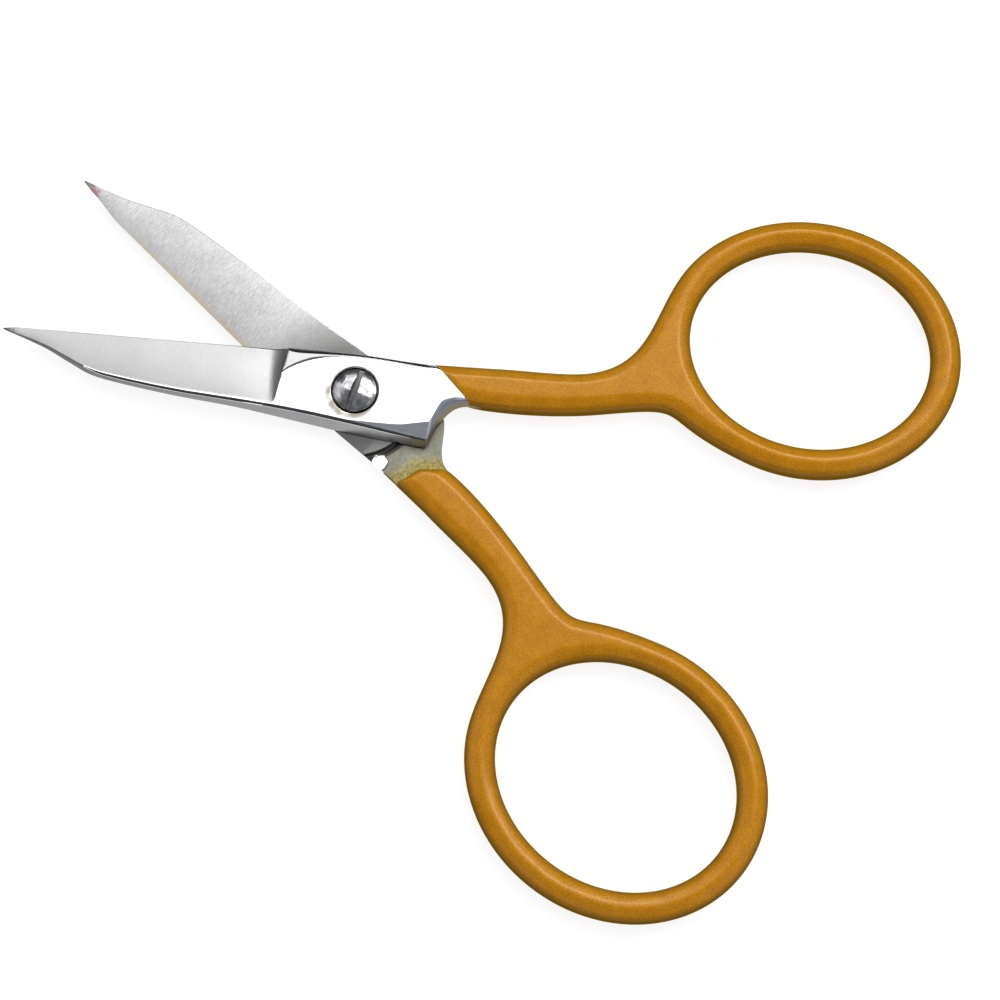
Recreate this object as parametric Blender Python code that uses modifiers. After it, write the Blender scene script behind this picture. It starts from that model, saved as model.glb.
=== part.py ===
"""Thread snips: two forged steel halves with coated finger rings, joined by a slotted pivot screw.

Each half is drawn closed and lying along X (blade towards -X, finger ring towards +X), then turned
about the pivot by half of the opening. The rear half is the front half turned over about X.
All driving dimensions are in millimetres; the meshes are in metres.
"""
import math

import bmesh
import bpy
from mathutils import Matrix, Vector
from mathutils.geometry import interpolate_bezier

MM = 0.001

# Placement of the pair
HALF_OPENING_DEG = 14.0
PIVOT_X = -10.2
PARTING_Z = 1.8
FACE_GAP = 0.025

# Blade
TIP_X = -38.8
TIP_WIDTH = 0.16
HEEL_X = -8.8
HEEL_Y = 3.45
EDGE_START_X = -37.4
EDGE_START_Y = 0.42
EDGE_THICKNESS = 0.12
GRIND_SLOPE = 0.264
HOLLOW_DEPTH = 0.10
LAND_WIDTH = 0.5
EDGE_DRAFT = 0.03
THIN_TIP_SHARE = 0.22
GRIND_STRIPS = 3
GRIND_END_X = -7.6
GRIND_END_LEAN = 0.5
GRIND_END_RADIUS = 1.2

# Spine side of the blade and boss, from the tip to the neck corner, then up the neck to the shank
SPINE_LINE = (
    (TIP_X, -0.08),
    (-34.0, -1.28),
    (-31.0, -2.38),
    (-28.4, -3.27),
    (-25.0, -3.62),
    (-19.0, -3.82),
    (-12.0, -3.82),
    (-5.0, -4.15),
    (0.0, -4.37),
    (8.4, -4.42),
)
NECK_LINE = (
    (8.4, -4.42),
    (9.3, -3.05),
    (10.5, -1.05),
    (11.4, 0.02),
    (12.3, 0.52),
    (13.4, 0.68),
)

# Cutting side of the boss, from the blade heel to the shank
BOSS_LINE = (
    (HEEL_X, HEEL_Y),
    (-6.0, 3.85),
    (0.0, 4.42),
    (5.0, 4.62),
    (8.0, 4.80),
    (13.4, 5.43),
)

# Small differences between the two hand-finished halves: cutting edge, shank lines and neck
FRONT_TRIM = {"edge": 0.0, "top": 0.1, "low": 0.33, "neck": -0.7}
REAR_TRIM = {"edge": 0.48, "top": -0.15, "low": -0.38, "neck": 0.3}
EDGE_TRIM_RUN = 5.0

# Boss section
BOSS_TOP = 1.8
SHOULDER_HEIGHT = 1.42
CUTTING_SIDE_DRAFT = 0.28
FACET_SLOPE = 0.15
FACET_LINE = (
    (-7.6, 0.9),
    (-6.3, 1.85),
    (-4.6, 2.70),
    (-2.6, 3.30),
    (1.5, 3.72),
    (8.0, 4.10),
    (13.4, 4.73),
)
SHOULDER_DRAFT = (
    (TIP_X, 0.06),
    (-33.0, 0.34),
    (-29.0, 0.36),
    (-27.0, 0.22),
    (-14.0, 0.28),
    (-6.0, 0.72),
    (0.0, 0.82),
    (8.4, 0.62),
    (9.3, 1.20),
    (11.5, 0.8),
    (13.4, 0.5),
)
TOP_EDGE_DRAFT = (
    (TIP_X, 0.02),
    (-14.0, 0.10),
    (0.0, 0.12),
    (5.5, 0.60),
    (8.4, 1.70),
    (9.9, 0.75),
    (13.4, 0.5),
)

# Handle outline, drawn on the parting plane
RING_CENTRE = (46.85, 14.39)
RING_HOLE_LONG = 13.0
RING_HOLE_SHORT = 11.13
RING_TILT_DEG = -2.3
RIM_WIDTH = 3.2
RING_JOIN_TOP_DEG = 155.0
RING_JOIN_LOW_DEG = -105.0
SHANK_START_TOP = (6.0, 4.60)
SHANK_START_LOW = (10.4, 0.80)
SHANK_TOP_MID = (14.0, 5.50)
SHANK_TOP_END = (22.0, 6.47)
SHANK_TOP_RUN = (0.985, 0.16)
SHANK_TOP_REACH = (2.0, 3.0, 9.2, 6.5)
SHANK_LOW_MID = (13.4, 0.68)
SHANK_LOW_END = (26.0, 2.88)
SHANK_LOW_RUN = (0.960, 0.280)
SHANK_LOW_REACH = (11.7, 10.9, 4.0)
SHANK_LOW_LEAVE = (4.0, 0.15)
LOW_END_SHARE = 0.27

# Handle section
HANDLE_HALF_THICKNESS = 1.8
HANDLE_ROUNDING = 1.5
ROUNDING_STEPS = 2
COAT_WALL = 0.25
COAT_GAP = 0.03

# Where the coat starts: a slanting line on the outer face, an arc about the pivot on the inner face
COAT_LINE_DISTANCE = 8.42
COAT_LINE_DEG = 51.05
RELIEF_INNER_RADIUS = 6.8
RELIEF_OUTER_RADIUS = 10.85
RELIEF_DEPTH = 0.12
RELIEF_FILLET = 0.7
RELIEF_SPAN_DEG = 80.0
RELIEF_BEYOND = 6.0
RELIEF_CORNER = (12.0, -8.0)

# Pivot screw
HEAD_RADIUS = 2.4
HEAD_SEAT_Z = 1.15
HEAD_RIM_Z = 1.78
HEAD_DOME = 0.62
SHANK_RADIUS = 1.25
SHANK_CHAMFER = 0.12
FRONT_HOLE_RADIUS = 1.30
REAR_HOLE_RADIUS = 1.28
SEAT_RADIUS = 2.52
SEAT_GAP = 0.03
SLOT_WIDTH = 0.62
SLOT_DEPTH = 0.55
SLOT_ANGLE_DEG = 109.0

# Cutters reach this far past the piece they cut
CUT_BEYOND = 1.2
BLOCK_SIZE = 60.0
RELIEF_CUT_DEPTH = 4.0

# Facets
ROUND_SEGMENTS = 40
BORE_SEGMENTS = 32
DOME_STEPS = 5
BEND_STEPS = 7
RELIEF_ARC_STEPS = 12
CREASE_ANGLE_DEG = 32.0


def clear_scene():
    for item in list(bpy.data.objects):
        bpy.data.objects.remove(item, do_unlink=True)


def new_collection(name):
    group = bpy.data.collections.new(name)
    bpy.context.scene.collection.children.link(group)
    return group


def make_material(name, colour, metallic, roughness):
    material = bpy.data.materials.new(name)
    material.use_nodes = True
    shader = material.node_tree.nodes["Principled BSDF"]
    shader.inputs["Base Color"].default_value = (*colour, 1.0)
    shader.inputs["Metallic"].default_value = metallic
    shader.inputs["Roughness"].default_value = roughness
    material.diffuse_color = (*colour, 1.0)
    return material


def along(line, x):
    """Smooth height of a line of points at x, held flat beyond its ends."""
    if x <= line[0][0]:
        return line[0][1]
    if x >= line[-1][0]:
        return line[-1][1]
    count = len(line)
    slopes = []
    for i in range(count):
        low = max(i - 1, 0)
        high = min(i + 1, count - 1)
        slopes.append((line[high][1] - line[low][1]) / (line[high][0] - line[low][0]))
    for i in range(count - 1):
        x0, y0 = line[i]
        x1, y1 = line[i + 1]
        if x <= x1:
            width = x1 - x0
            t = (x - x0) / width
            rise0 = slopes[i] * width
            rise1 = slopes[i + 1] * width
            square = t * t
            cube = square * t
            return (
                y0 * (2 * cube - 3 * square + 1)
                + rise0 * (cube - 2 * square + t)
                + y1 * (3 * square - 2 * cube)
                + rise1 * (cube - square)
            )
    return line[-1][1]


def ease(x, start, end):
    """Smooth rise from 0 at start to 1 at end."""
    t = min(max((x - start) / (end - start), 0.0), 1.0)
    return t * t * (3 - 2 * t)


def spine_y(x, trim):
    if x <= SPINE_LINE[-1][0]:
        return along(SPINE_LINE, x)
    start = NECK_LINE[0][0]
    moved = x - trim["neck"] * ease(x, start, NECK_LINE[1][0])
    return along(NECK_LINE, moved) + trim["low"] * ease(x, start, NECK_LINE[2][0])


def cutting_y(x, trim):
    if x >= HEEL_X:
        fade = ease(x, 4.0, SHANK_TOP_MID[0])
        gain = trim["edge"] * (1 - ease(x, HEEL_X, GRIND_END_X + 3.0))
        return along(BOSS_LINE, x) + trim["top"] * fade + gain
    gain = trim["edge"] * ease(x, EDGE_START_X, EDGE_START_X + EDGE_TRIM_RUN)
    if x >= EDGE_START_X:
        share = (x - EDGE_START_X) / (HEEL_X - EDGE_START_X)
        return EDGE_START_Y + share * (HEEL_Y - EDGE_START_Y) + gain
    share = (x - TIP_X) / (EDGE_START_X - TIP_X)
    start = along(SPINE_LINE, TIP_X) + TIP_WIDTH
    return start + share * (EDGE_START_Y - start)


def blade_section(x, trim):
    """One closed section of a steel half across X, as (y, z) pairs in order around it."""
    low = spine_y(x, trim)
    high = cutting_y(x, trim)
    width = high - low
    shoulder = low + min(along(SHOULDER_DRAFT, x), THIN_TIP_SHARE * width)
    top_edge = shoulder + min(along(TOP_EDGE_DRAFT, x), 0.1 * width if x < HEEL_X else width)
    land = top_edge + min(LAND_WIDTH, 0.15 * width)
    thin = EDGE_THICKNESS + FACE_GAP
    rise = GRIND_SLOPE * (high - land)
    top = min(BOSS_TOP, thin + rise)
    if x >= GRIND_END_X:
        top = BOSS_TOP
    past_heel = min(max((x - HEEL_X) / (GRIND_END_X - HEEL_X), 0.0), 1.0)
    edge_draft = EDGE_DRAFT + (CUTTING_SIDE_DRAFT - EDGE_DRAFT) * past_heel
    corner = high - min(edge_draft, 0.2 * width)
    break_line = along(FACET_LINE, x) if x >= GRIND_END_X else corner - 0.3 * (corner - land)
    across = [corner, 0.5 * (corner + break_line), break_line]
    for k in range(1, GRIND_STRIPS + 1):
        across.append(break_line + (land - break_line) * k / (GRIND_STRIPS + 1))
    points = [(low, FACE_GAP), (high, FACE_GAP)]
    for y in across:
        share = (y - land) / max(corner - land, 1e-6)
        hollow = HOLLOW_DEPTH * min(1.0, width / 6.0) * 4 * share * (1 - share)
        ground = thin + (top - thin) * (1 - share) - hollow
        ceiling = top
        if x >= GRIND_END_X - GRIND_END_RADIUS - GRIND_END_LEAN:
            facet = along(FACET_LINE, x)
            ceiling = BOSS_TOP - FACET_SLOPE * max(0.0, y - facet)
        end = GRIND_END_X - GRIND_END_LEAN * (1 - share) ** 2
        run = (x - (end - GRIND_END_RADIUS)) / GRIND_END_RADIUS
        run = min(max(run, 0.0), 1.0)
        climb = 1 - math.sqrt(1 - run * run)
        points.append((y, ground + (ceiling - ground) * climb))
    shoulder_z = top * SHOULDER_HEIGHT / BOSS_TOP if x < GRIND_END_X else SHOULDER_HEIGHT
    points += [(land, top), (top_edge, top), (shoulder, shoulder_z)]
    return points


def blade_stations():
    tip = [TIP_X, -38.2, EDGE_START_X, -36.0, -34.0, -32.0, -30.2, -28.8, -27.6, -26.0, -24.0]
    middle = [-21.0, -18.0, -15.0, -12.5, -10.6, -9.3, HEEL_X, -8.5, -8.2, -7.95, -7.8, -7.7]
    boss = [GRIND_END_X, -7.0, -6.0, -4.6, -3.0, -1.0, 1.5, 4.0, 5.5, 6.6, 7.6, 8.1]
    neck = [SPINE_LINE[-1][0], 8.8, 9.3, 9.9, 10.5, 11.0, 11.5, 12.1, 12.7, NECK_LINE[-1][0]]
    return tip + middle + boss + neck


def steel_plate(name, trim, group):
    """Blade, boss and neck: sections of different shape joined along X."""
    mesh = bmesh.new()
    rings = []
    for x in blade_stations():
        rings.append([mesh.verts.new((x * MM, y * MM, z * MM)) for y, z in blade_section(x, trim)])
    count = len(rings[0])
    for first, second in zip(rings, rings[1:]):
        for i in range(count):
            j = (i + 1) % count
            mesh.faces.new((first[i], first[j], second[j], second[i]))
    mesh.faces.new(rings[0][::-1])
    mesh.faces.new(rings[-1])
    return finish_mesh(mesh, name, group)


def finish_mesh(mesh, name, group):
    bmesh.ops.triangulate(mesh, faces=mesh.faces[:])
    bmesh.ops.recalc_face_normals(mesh, faces=mesh.faces[:])
    data = bpy.data.meshes.new(name)
    mesh.to_mesh(data)
    mesh.free()
    item = bpy.data.objects.new(name, data)
    group.objects.link(item)
    return item


def ring_point(angle_deg, growth):
    """Point on the ring ellipse grown outwards, and the direction of travel for falling angle."""
    turn = math.radians(RING_TILT_DEG)
    angle = math.radians(angle_deg)
    x = (RING_HOLE_LONG + growth) * math.cos(angle)
    y = (RING_HOLE_SHORT + growth) * math.sin(angle)
    dx = (RING_HOLE_LONG + growth) * math.sin(angle)
    dy = -(RING_HOLE_SHORT + growth) * math.cos(angle)
    place = Vector((
        RING_CENTRE[0] + x * math.cos(turn) - y * math.sin(turn),
        RING_CENTRE[1] + x * math.sin(turn) + y * math.cos(turn),
        0.0,
    ))
    travel = Vector((
        dx * math.cos(turn) - dy * math.sin(turn),
        dx * math.sin(turn) + dy * math.cos(turn),
        0.0,
    ))
    return place, travel.normalized()


def bend(start, leave, arrive, end, steps):
    """Points of one curved stretch, without its last point."""
    points = interpolate_bezier(start, leave, arrive, end, steps + 1)
    return [Vector(p) for p in points[:-1]]


def handle_outline(trim):
    """Outer outline of shank and ring, clockwise from the start of the shank's upper edge."""
    top_shift = Vector((0.0, trim["top"], 0.0))
    low_shift = Vector((0.0, trim["low"], 0.0))
    start_top = Vector((*SHANK_START_TOP, 0.0))
    top_mid = Vector((*SHANK_TOP_MID, 0.0)) + top_shift
    top_end = Vector((*SHANK_TOP_END, 0.0)) + top_shift
    low_end = Vector((*SHANK_LOW_END, 0.0)) + low_shift * LOW_END_SHARE
    low_mid = Vector((*SHANK_LOW_MID, 0.0)) + low_shift
    start_low = Vector((*SHANK_START_LOW, 0.0)) + low_shift
    join_top, climb = ring_point(RING_JOIN_TOP_DEG, RIM_WIDTH)
    join_low, fall = ring_point(RING_JOIN_LOW_DEG, RIM_WIDTH)
    rise = Vector((*SHANK_TOP_RUN, 0.0))
    sink = Vector((*SHANK_LOW_RUN, 0.0))
    leave, arrive, swing, land = SHANK_TOP_REACH
    points = [start_top]
    points += bend(top_mid, top_mid + rise * leave, top_end - rise * arrive, top_end, 2)
    points += bend(top_end, top_end + rise * swing, join_top - climb * land, join_top, BEND_STEPS + 3)
    sweep = RING_JOIN_TOP_DEG - RING_JOIN_LOW_DEG
    arc_steps = round(ROUND_SEGMENTS * sweep / 360.0)
    for k in range(arc_steps):
        points.append(ring_point(RING_JOIN_TOP_DEG - sweep * k / arc_steps, RIM_WIDTH)[0])
    leave, arrive, swing = SHANK_LOW_REACH
    points += bend(join_low, join_low + fall * leave, low_end + sink * arrive, low_end, BEND_STEPS + 3)
    low_turn = low_mid + Vector((*SHANK_LOW_LEAVE, 0.0))
    points += bend(low_end, low_end - sink * swing, low_turn, low_mid, BEND_STEPS // 2 + 1)
    points += [low_mid, start_low]
    return points


def ring_hole():
    return [ring_point(360.0 * k / ROUND_SEGMENTS, 0.0)[0] for k in range(ROUND_SEGMENTS)]


def flat_curve(name, outlines, half_height, rounding, shift):
    """A filled flat outline made into a plate with rounded edges."""
    curve = bpy.data.curves.new(name, "CURVE")
    curve.dimensions = "2D"
    curve.fill_mode = "BOTH"
    curve.extrude = half_height * MM
    curve.bevel_depth = rounding * MM
    curve.bevel_resolution = ROUNDING_STEPS
    curve.offset = shift * MM
    for outline in outlines:
        spline = curve.splines.new("POLY")
        spline.points.add(len(outline) - 1)
        for point, place in zip(spline.points, outline):
            point.co = (place[0] * MM, place[1] * MM, 0.0, 1.0)
        spline.use_cyclic_u = True
    return curve


def curve_to_mesh(name, curve, group):
    carrier = bpy.data.objects.new(name + "_outline", curve)
    group.objects.link(carrier)
    bpy.context.view_layer.update()
    depsgraph = bpy.context.evaluated_depsgraph_get()
    data = bpy.data.meshes.new_from_object(carrier.evaluated_get(depsgraph))
    bpy.data.objects.remove(carrier, do_unlink=True)
    mesh = bmesh.new()
    mesh.from_mesh(data)
    bpy.data.meshes.remove(data)
    bmesh.ops.remove_doubles(mesh, verts=mesh.verts[:], dist=2e-6)
    return finish_mesh(mesh, name, group)


def handle_solid(name, inset, trim, group):
    """Shank and ring as one rounded plate, shrunk all round by the inset."""
    curve = flat_curve(
        name,
        [handle_outline(trim), ring_hole()],
        HANDLE_HALF_THICKNESS - HANDLE_ROUNDING,
        HANDLE_ROUNDING - inset,
        -HANDLE_ROUNDING,
    )
    return curve_to_mesh(name, curve, group)


def coat_line_normal():
    angle = math.radians(COAT_LINE_DEG)
    return Vector((math.cos(angle), math.sin(angle), 0.0))


def side_block(name, distance, side, group):
    """A large block on one side of the slanting line where the coat starts."""
    normal = coat_line_normal()
    bpy.ops.mesh.primitive_cube_add(size=BLOCK_SIZE * MM)
    item = bpy.context.active_object
    item.name = name
    centre = normal * (distance + side * BLOCK_SIZE / 2)
    item.matrix_world = Matrix.Translation(centre * MM) @ Matrix.Rotation(
        math.radians(COAT_LINE_DEG), 4, "Z"
    )
    move_to(item, group)
    bake_place(item)
    return item


def move_to(item, group):
    for owner in list(item.users_collection):
        owner.objects.unlink(item)
    group.objects.link(item)


def bake_place(item):
    item.data.transform(item.matrix_world)
    item.matrix_world = Matrix.Identity(4)


def relief_outline():
    """Neck relief: between the ride circle and the coat, so the other boss can swing past."""
    normal = coat_line_normal()
    line = Vector((normal.y, -normal.x, 0.0))
    reach = math.sqrt(RELIEF_OUTER_RADIUS ** 2 - COAT_LINE_DISTANCE ** 2)
    meet = normal * COAT_LINE_DISTANCE + line * reach
    meet_deg = math.degrees(math.atan2(meet.y, meet.x))
    points = arc(RELIEF_INNER_RADIUS, -RELIEF_SPAN_DEG, RELIEF_SPAN_DEG, RELIEF_ARC_STEPS)
    points += arc(RELIEF_OUTER_RADIUS, RELIEF_SPAN_DEG, meet_deg, RELIEF_ARC_STEPS // 2)
    points.append(meet + line * RELIEF_BEYOND)
    points.append(Vector((*RELIEF_CORNER, 0.0)))
    return points


def arc(radius, start_deg, end_deg, steps):
    """Points of an arc about the pivot, both ends included."""
    points = []
    for k in range(steps + 1):
        angle = math.radians(start_deg + (end_deg - start_deg) * k / steps)
        points.append(Vector((math.cos(angle), math.sin(angle), 0.0)) * radius)
    return points


def relief_cutter(name, group):
    half = RELIEF_CUT_DEPTH / 2
    curve = flat_curve(name, [relief_outline()], half - RELIEF_FILLET, RELIEF_FILLET, -RELIEF_FILLET)
    item = curve_to_mesh(name, curve, group)
    top = FACE_GAP + RELIEF_DEPTH
    item.data.transform(Matrix.Translation((0.0, 0.0, (top - half) * MM)))
    return item


def round_bar(name, radius, low, high, segments, group):
    bpy.ops.mesh.primitive_cylinder_add(
        vertices=segments,
        radius=radius * MM,
        depth=(high - low) * MM,
        location=(0.0, 0.0, (low + high) / 2 * MM),
    )
    item = bpy.context.active_object
    item.name = name
    move_to(item, group)
    bake_place(item)
    return item


def combine(item, tool, operation):
    step = item.modifiers.new(operation.title(), "BOOLEAN")
    step.operation = operation
    step.solver = "EXACT"
    step.object = tool
    apply_modifiers(item)


def apply_modifiers(item):
    bpy.context.view_layer.update()
    depsgraph = bpy.context.evaluated_depsgraph_get()
    data = bpy.data.meshes.new_from_object(item.evaluated_get(depsgraph))
    old = item.data
    item.modifiers.clear()
    item.data = data
    bpy.data.meshes.remove(old)


def hide_cutter(item):
    item.hide_render = True
    item.display_type = "WIRE"


def build_half(name, trim, cutters, group):
    """One steel half in its closed place, without its screw hole."""
    half = steel_plate(name, trim, group)
    shoulder = side_block(name + "_shoulder", COAT_LINE_DISTANCE, 1, cutters)
    combine(half, shoulder, "DIFFERENCE")
    core = handle_solid(name + "_core", COAT_WALL + COAT_GAP, trim, cutters)
    combine(half, core, "UNION")
    relief = relief_cutter(name + "_relief", cutters)
    combine(half, relief, "DIFFERENCE")
    return half


def build_coat(name, trim, cutters, group):
    """One coat in its closed place: a thin shell open towards the neck."""
    coat = handle_solid(name, 0.0, trim, group)
    cavity = handle_solid(name + "_cavity", COAT_WALL, trim, cutters)
    combine(coat, cavity, "DIFFERENCE")
    start = side_block(name + "_start", COAT_LINE_DISTANCE + COAT_GAP, -1, cutters)
    combine(coat, start, "DIFFERENCE")
    relief = relief_cutter(name + "_relief", cutters)
    combine(coat, relief, "DIFFERENCE")
    return coat


def cut_front_hole(half, cutters):
    top = BOSS_TOP + CUT_BEYOND
    hole = round_bar("front_hole", FRONT_HOLE_RADIUS, -CUT_BEYOND, top, BORE_SEGMENTS, cutters)
    combine(half, hole, "DIFFERENCE")
    floor = HEAD_SEAT_Z - SEAT_GAP
    seat = round_bar("head_seat", SEAT_RADIUS, floor, top, ROUND_SEGMENTS, cutters)
    combine(half, seat, "DIFFERENCE")


def cut_rear_hole(half, cutters):
    top = BOSS_TOP + CUT_BEYOND
    hole = round_bar("rear_hole", REAR_HOLE_RADIUS, -top, top, BORE_SEGMENTS, cutters)
    combine(half, hole, "DIFFERENCE")


def pivot_screw(name, cutters, group):
    """Slotted screw with a domed head, turned about the pivot axis."""
    profile = []
    for k in range(DOME_STEPS + 1):
        angle = math.radians(90.0 * k / DOME_STEPS)
        rise = HEAD_DOME * math.cos(angle)
        profile.append((HEAD_RADIUS * math.sin(angle), HEAD_RIM_Z + rise))
    profile.append((HEAD_RADIUS, HEAD_SEAT_Z))
    profile.append((SHANK_RADIUS, HEAD_SEAT_Z))
    profile.append((SHANK_RADIUS, -PARTING_Z + SHANK_CHAMFER))
    profile.append((SHANK_RADIUS - SHANK_CHAMFER, -PARTING_Z))
    profile.append((0.0, -PARTING_Z))
    mesh = bmesh.new()
    verts = [mesh.verts.new((r * MM, 0.0, z * MM)) for r, z in profile]
    for first, second in zip(verts, verts[1:]):
        mesh.edges.new((first, second))
    data = bpy.data.meshes.new(name)
    mesh.to_mesh(data)
    mesh.free()
    item = bpy.data.objects.new(name, data)
    group.objects.link(item)
    turn = item.modifiers.new("Turn", "SCREW")
    turn.axis = "Z"
    turn.steps = BORE_SEGMENTS
    turn.render_steps = BORE_SEGMENTS
    turn.use_merge_vertices = True
    turn.merge_threshold = 1e-6
    apply_modifiers(item)
    cut_slot(item, cutters)
    return item


def cut_slot(screw, cutters):
    floor = HEAD_RIM_Z + HEAD_DOME - SLOT_DEPTH
    bpy.ops.mesh.primitive_cube_add(size=MM)
    slot = bpy.context.active_object
    slot.name = "screw_slot"
    length = 2 * (HEAD_RADIUS + CUT_BEYOND)
    height = SLOT_DEPTH + CUT_BEYOND
    slot.matrix_world = (
        Matrix.Translation((0.0, 0.0, (floor + height / 2) * MM))
        @ Matrix.Rotation(math.radians(SLOT_ANGLE_DEG), 4, "Z")
        @ Matrix.Diagonal((length, SLOT_WIDTH, height, 1.0))
    )
    move_to(slot, cutters)
    bake_place(slot)
    combine(screw, slot, "DIFFERENCE")


def place(item, turned_over, angle_deg):
    """Turn a finished piece into its open place; its origin lies on the pivot axis."""
    over = Matrix.Rotation(math.pi, 4, "X") if turned_over else Matrix.Identity(4)
    turn = Matrix.Rotation(math.radians(angle_deg), 4, "Z")
    item.data.transform(turn @ over)
    item.data.update()
    item.matrix_world = Matrix.Translation((PIVOT_X * MM, 0.0, PARTING_Z * MM))


def dress(item, material):
    item.data.materials.clear()
    item.data.materials.append(material)
    for face in item.data.polygons:
        face.material_index = 0
    item.data.shade_smooth()
    item.data.set_sharp_from_angle(angle=math.radians(CREASE_ANGLE_DEG))


def build():
    clear_scene()
    parts = new_collection("thread_snips")
    cutters = new_collection("cutters")
    steel = make_material("polished_steel", (0.60, 0.60, 0.61), 1.0, 0.22)
    rear_steel = make_material("brushed_steel", (0.55, 0.55, 0.56), 1.0, 0.35)
    coat = make_material("mustard_coat", (0.55, 0.23, 0.018), 0.0, 0.42)
    rear_coat = make_material("mustard_coat_rear", (0.55, 0.23, 0.018), 0.0, 0.42)
    screw_steel = make_material("screw_steel", (0.42, 0.42, 0.44), 1.0, 0.2)

    front = build_half("front_half", FRONT_TRIM, cutters, parts)
    cut_front_hole(front, cutters)
    place(front, False, HALF_OPENING_DEG)
    dress(front, steel)

    rear = build_half("rear_half", REAR_TRIM, cutters, parts)
    cut_rear_hole(rear, cutters)
    place(rear, True, -HALF_OPENING_DEG)
    dress(rear, rear_steel)

    front_coat = build_coat("front_handle_coat", FRONT_TRIM, cutters, parts)
    place(front_coat, False, HALF_OPENING_DEG)
    dress(front_coat, coat)

    back_coat = build_coat("rear_handle_coat", REAR_TRIM, cutters, parts)
    place(back_coat, True, -HALF_OPENING_DEG)
    dress(back_coat, rear_coat)

    screw = pivot_screw("pivot_screw", cutters, parts)
    place(screw, False, -HALF_OPENING_DEG)
    dress(screw, screw_steel)

    for item in cutters.objects:
        hide_cutter(item)


build()
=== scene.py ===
"""Looks of the thread snips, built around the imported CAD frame.

Each steel half, each handle coat and the pivot screw is drawn again at a finer scale in the half's
own closed frame (blade towards -X, ring towards +X, outer face up), in millimetres, and then put in
the place that the CAD gives it.
"""

import math

import bmesh
import bpy
from mathutils import Matrix, Vector, noise
from mathutils.geometry import interpolate_bezier
from mathutils.kdtree import KDTree


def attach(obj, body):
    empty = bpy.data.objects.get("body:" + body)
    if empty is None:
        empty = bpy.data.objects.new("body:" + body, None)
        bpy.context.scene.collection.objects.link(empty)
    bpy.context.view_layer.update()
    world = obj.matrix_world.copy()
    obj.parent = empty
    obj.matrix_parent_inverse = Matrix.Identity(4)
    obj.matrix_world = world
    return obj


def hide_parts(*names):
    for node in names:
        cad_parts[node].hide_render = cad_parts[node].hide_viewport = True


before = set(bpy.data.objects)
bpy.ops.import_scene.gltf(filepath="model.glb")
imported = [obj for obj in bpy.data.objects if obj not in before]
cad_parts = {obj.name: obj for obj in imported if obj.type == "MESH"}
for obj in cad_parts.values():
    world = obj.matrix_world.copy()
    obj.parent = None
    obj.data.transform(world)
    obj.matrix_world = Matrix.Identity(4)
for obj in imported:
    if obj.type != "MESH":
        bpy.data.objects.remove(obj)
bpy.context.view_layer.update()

MM = 0.001

# Placement of the pair, as in the CAD
HALF_OPENING_DEG = 14.0
PIVOT_X = -10.2
PARTING_Z = 1.8
FACE_GAP = 0.025

# Blade
TIP_X = -38.8
TIP_WIDTH = 0.16
HEEL_X = -8.8
HEEL_Y = 3.45
EDGE_START_X = -37.4
EDGE_START_Y = 0.42
EDGE_THICKNESS = 0.12
GRIND_SLOPE = 0.264
HOLLOW_DEPTH = 0.10
LAND_WIDTH = ((-30.0, 0.02), (-27.5, 0.08), (-20.0, 0.09), (-10.0, 0.13))
LAND_START_X = -29.3
GRIND_END_X = -8.1
GRIND_END_LENGTH = 1.9
GRIND_START_X = GRIND_END_X - GRIND_END_LENGTH
GRIND_END_TAPER = 0.6
GRIND_END_STEEP_DEG = 74.0
GRIND_CORNER = 0.9
GRIND_FADE_RUN = 3.0
GRIND_CLIMB = 0.9
TAPER_RUN = 3.5
LIP_GAP = 0.02
LIP_RUN = 0.14
LIP_BEYOND = 0.45
FULL_HOLLOW_WIDTH = 6.0

SPINE_LINE = (
    (TIP_X, -0.08), (-34.0, -1.28), (-31.0, -2.38), (-28.4, -3.27), (-25.0, -3.62), (-19.0, -3.82),
    (-12.0, -3.82), (-5.0, -4.15), (0.0, -4.37), (8.4, -4.42),
)
NECK_LINE = ((8.4, -4.42), (9.3, -3.05), (10.5, -1.05), (11.4, 0.02), (12.3, 0.52), (13.4, 0.68))
BOSS_LINE = ((HEEL_X, HEEL_Y), (-6.0, 3.85), (0.0, 4.42), (5.0, 4.62), (8.0, 4.80), (13.4, 5.43))
FRONT_TRIM = {"edge": 0.0, "top": 0.1, "low": 0.33, "neck": -0.7}
REAR_TRIM = {"edge": 0.48, "top": -0.15, "low": -0.38, "neck": 0.3}
EDGE_TRIM_RUN = 5.0
TOP_TRIM_START_X = 4.0

# Boss section
BOSS_TOP = 1.8
CUTTING_SIDE_DRAFT = ((HEEL_X, 0.02), (-7.6, 0.14), (-4.6, 0.26), (-2.8, 0.34), (13.4, 0.36))
CUTTING_CHAMFER = (
    (-36.0, 0.03), (HEEL_X, 0.12), (-7.6, 0.46), (-6.6, 0.58), (-4.5, 0.50), (-2.7, 0.38),
    (0.5, 0.30), (4.4, 0.33), (7.3, 0.44), (13.4, 0.44),
)
CUTTING_CHAMFER_SLOPE = 0.65
SPINE_CHAMFER = (
    (TIP_X, 0.02), (-29.5, 0.06), (-27.0, 0.20), (-19.0, 0.24), (-8.0, 0.28), (2.0, 0.30),
    (8.0, 0.22), (9.0, 0.05), (13.4, 0.05),
)
SPINE_CHAMFER_SLOPE = 1.12
SPINE_BEVEL_SLOPE = ((7.5, 0.22), (9.5, 0.12))
SPINE_SHIFT = 0.08
FACET_SLOPE = 0.15
FULL_CHAMFER_WIDTH = 2.5
FULL_DRAFT_WIDTH = 4.0
LEAST_BEVEL = 0.015
LEAST_SHOULDER = 0.4
DRAFT_SHARE = 0.22
CHAMFER_SHARE = 0.2
CREASE_SHARE = 0.3
CREASE_START_X = -9.6
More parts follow.
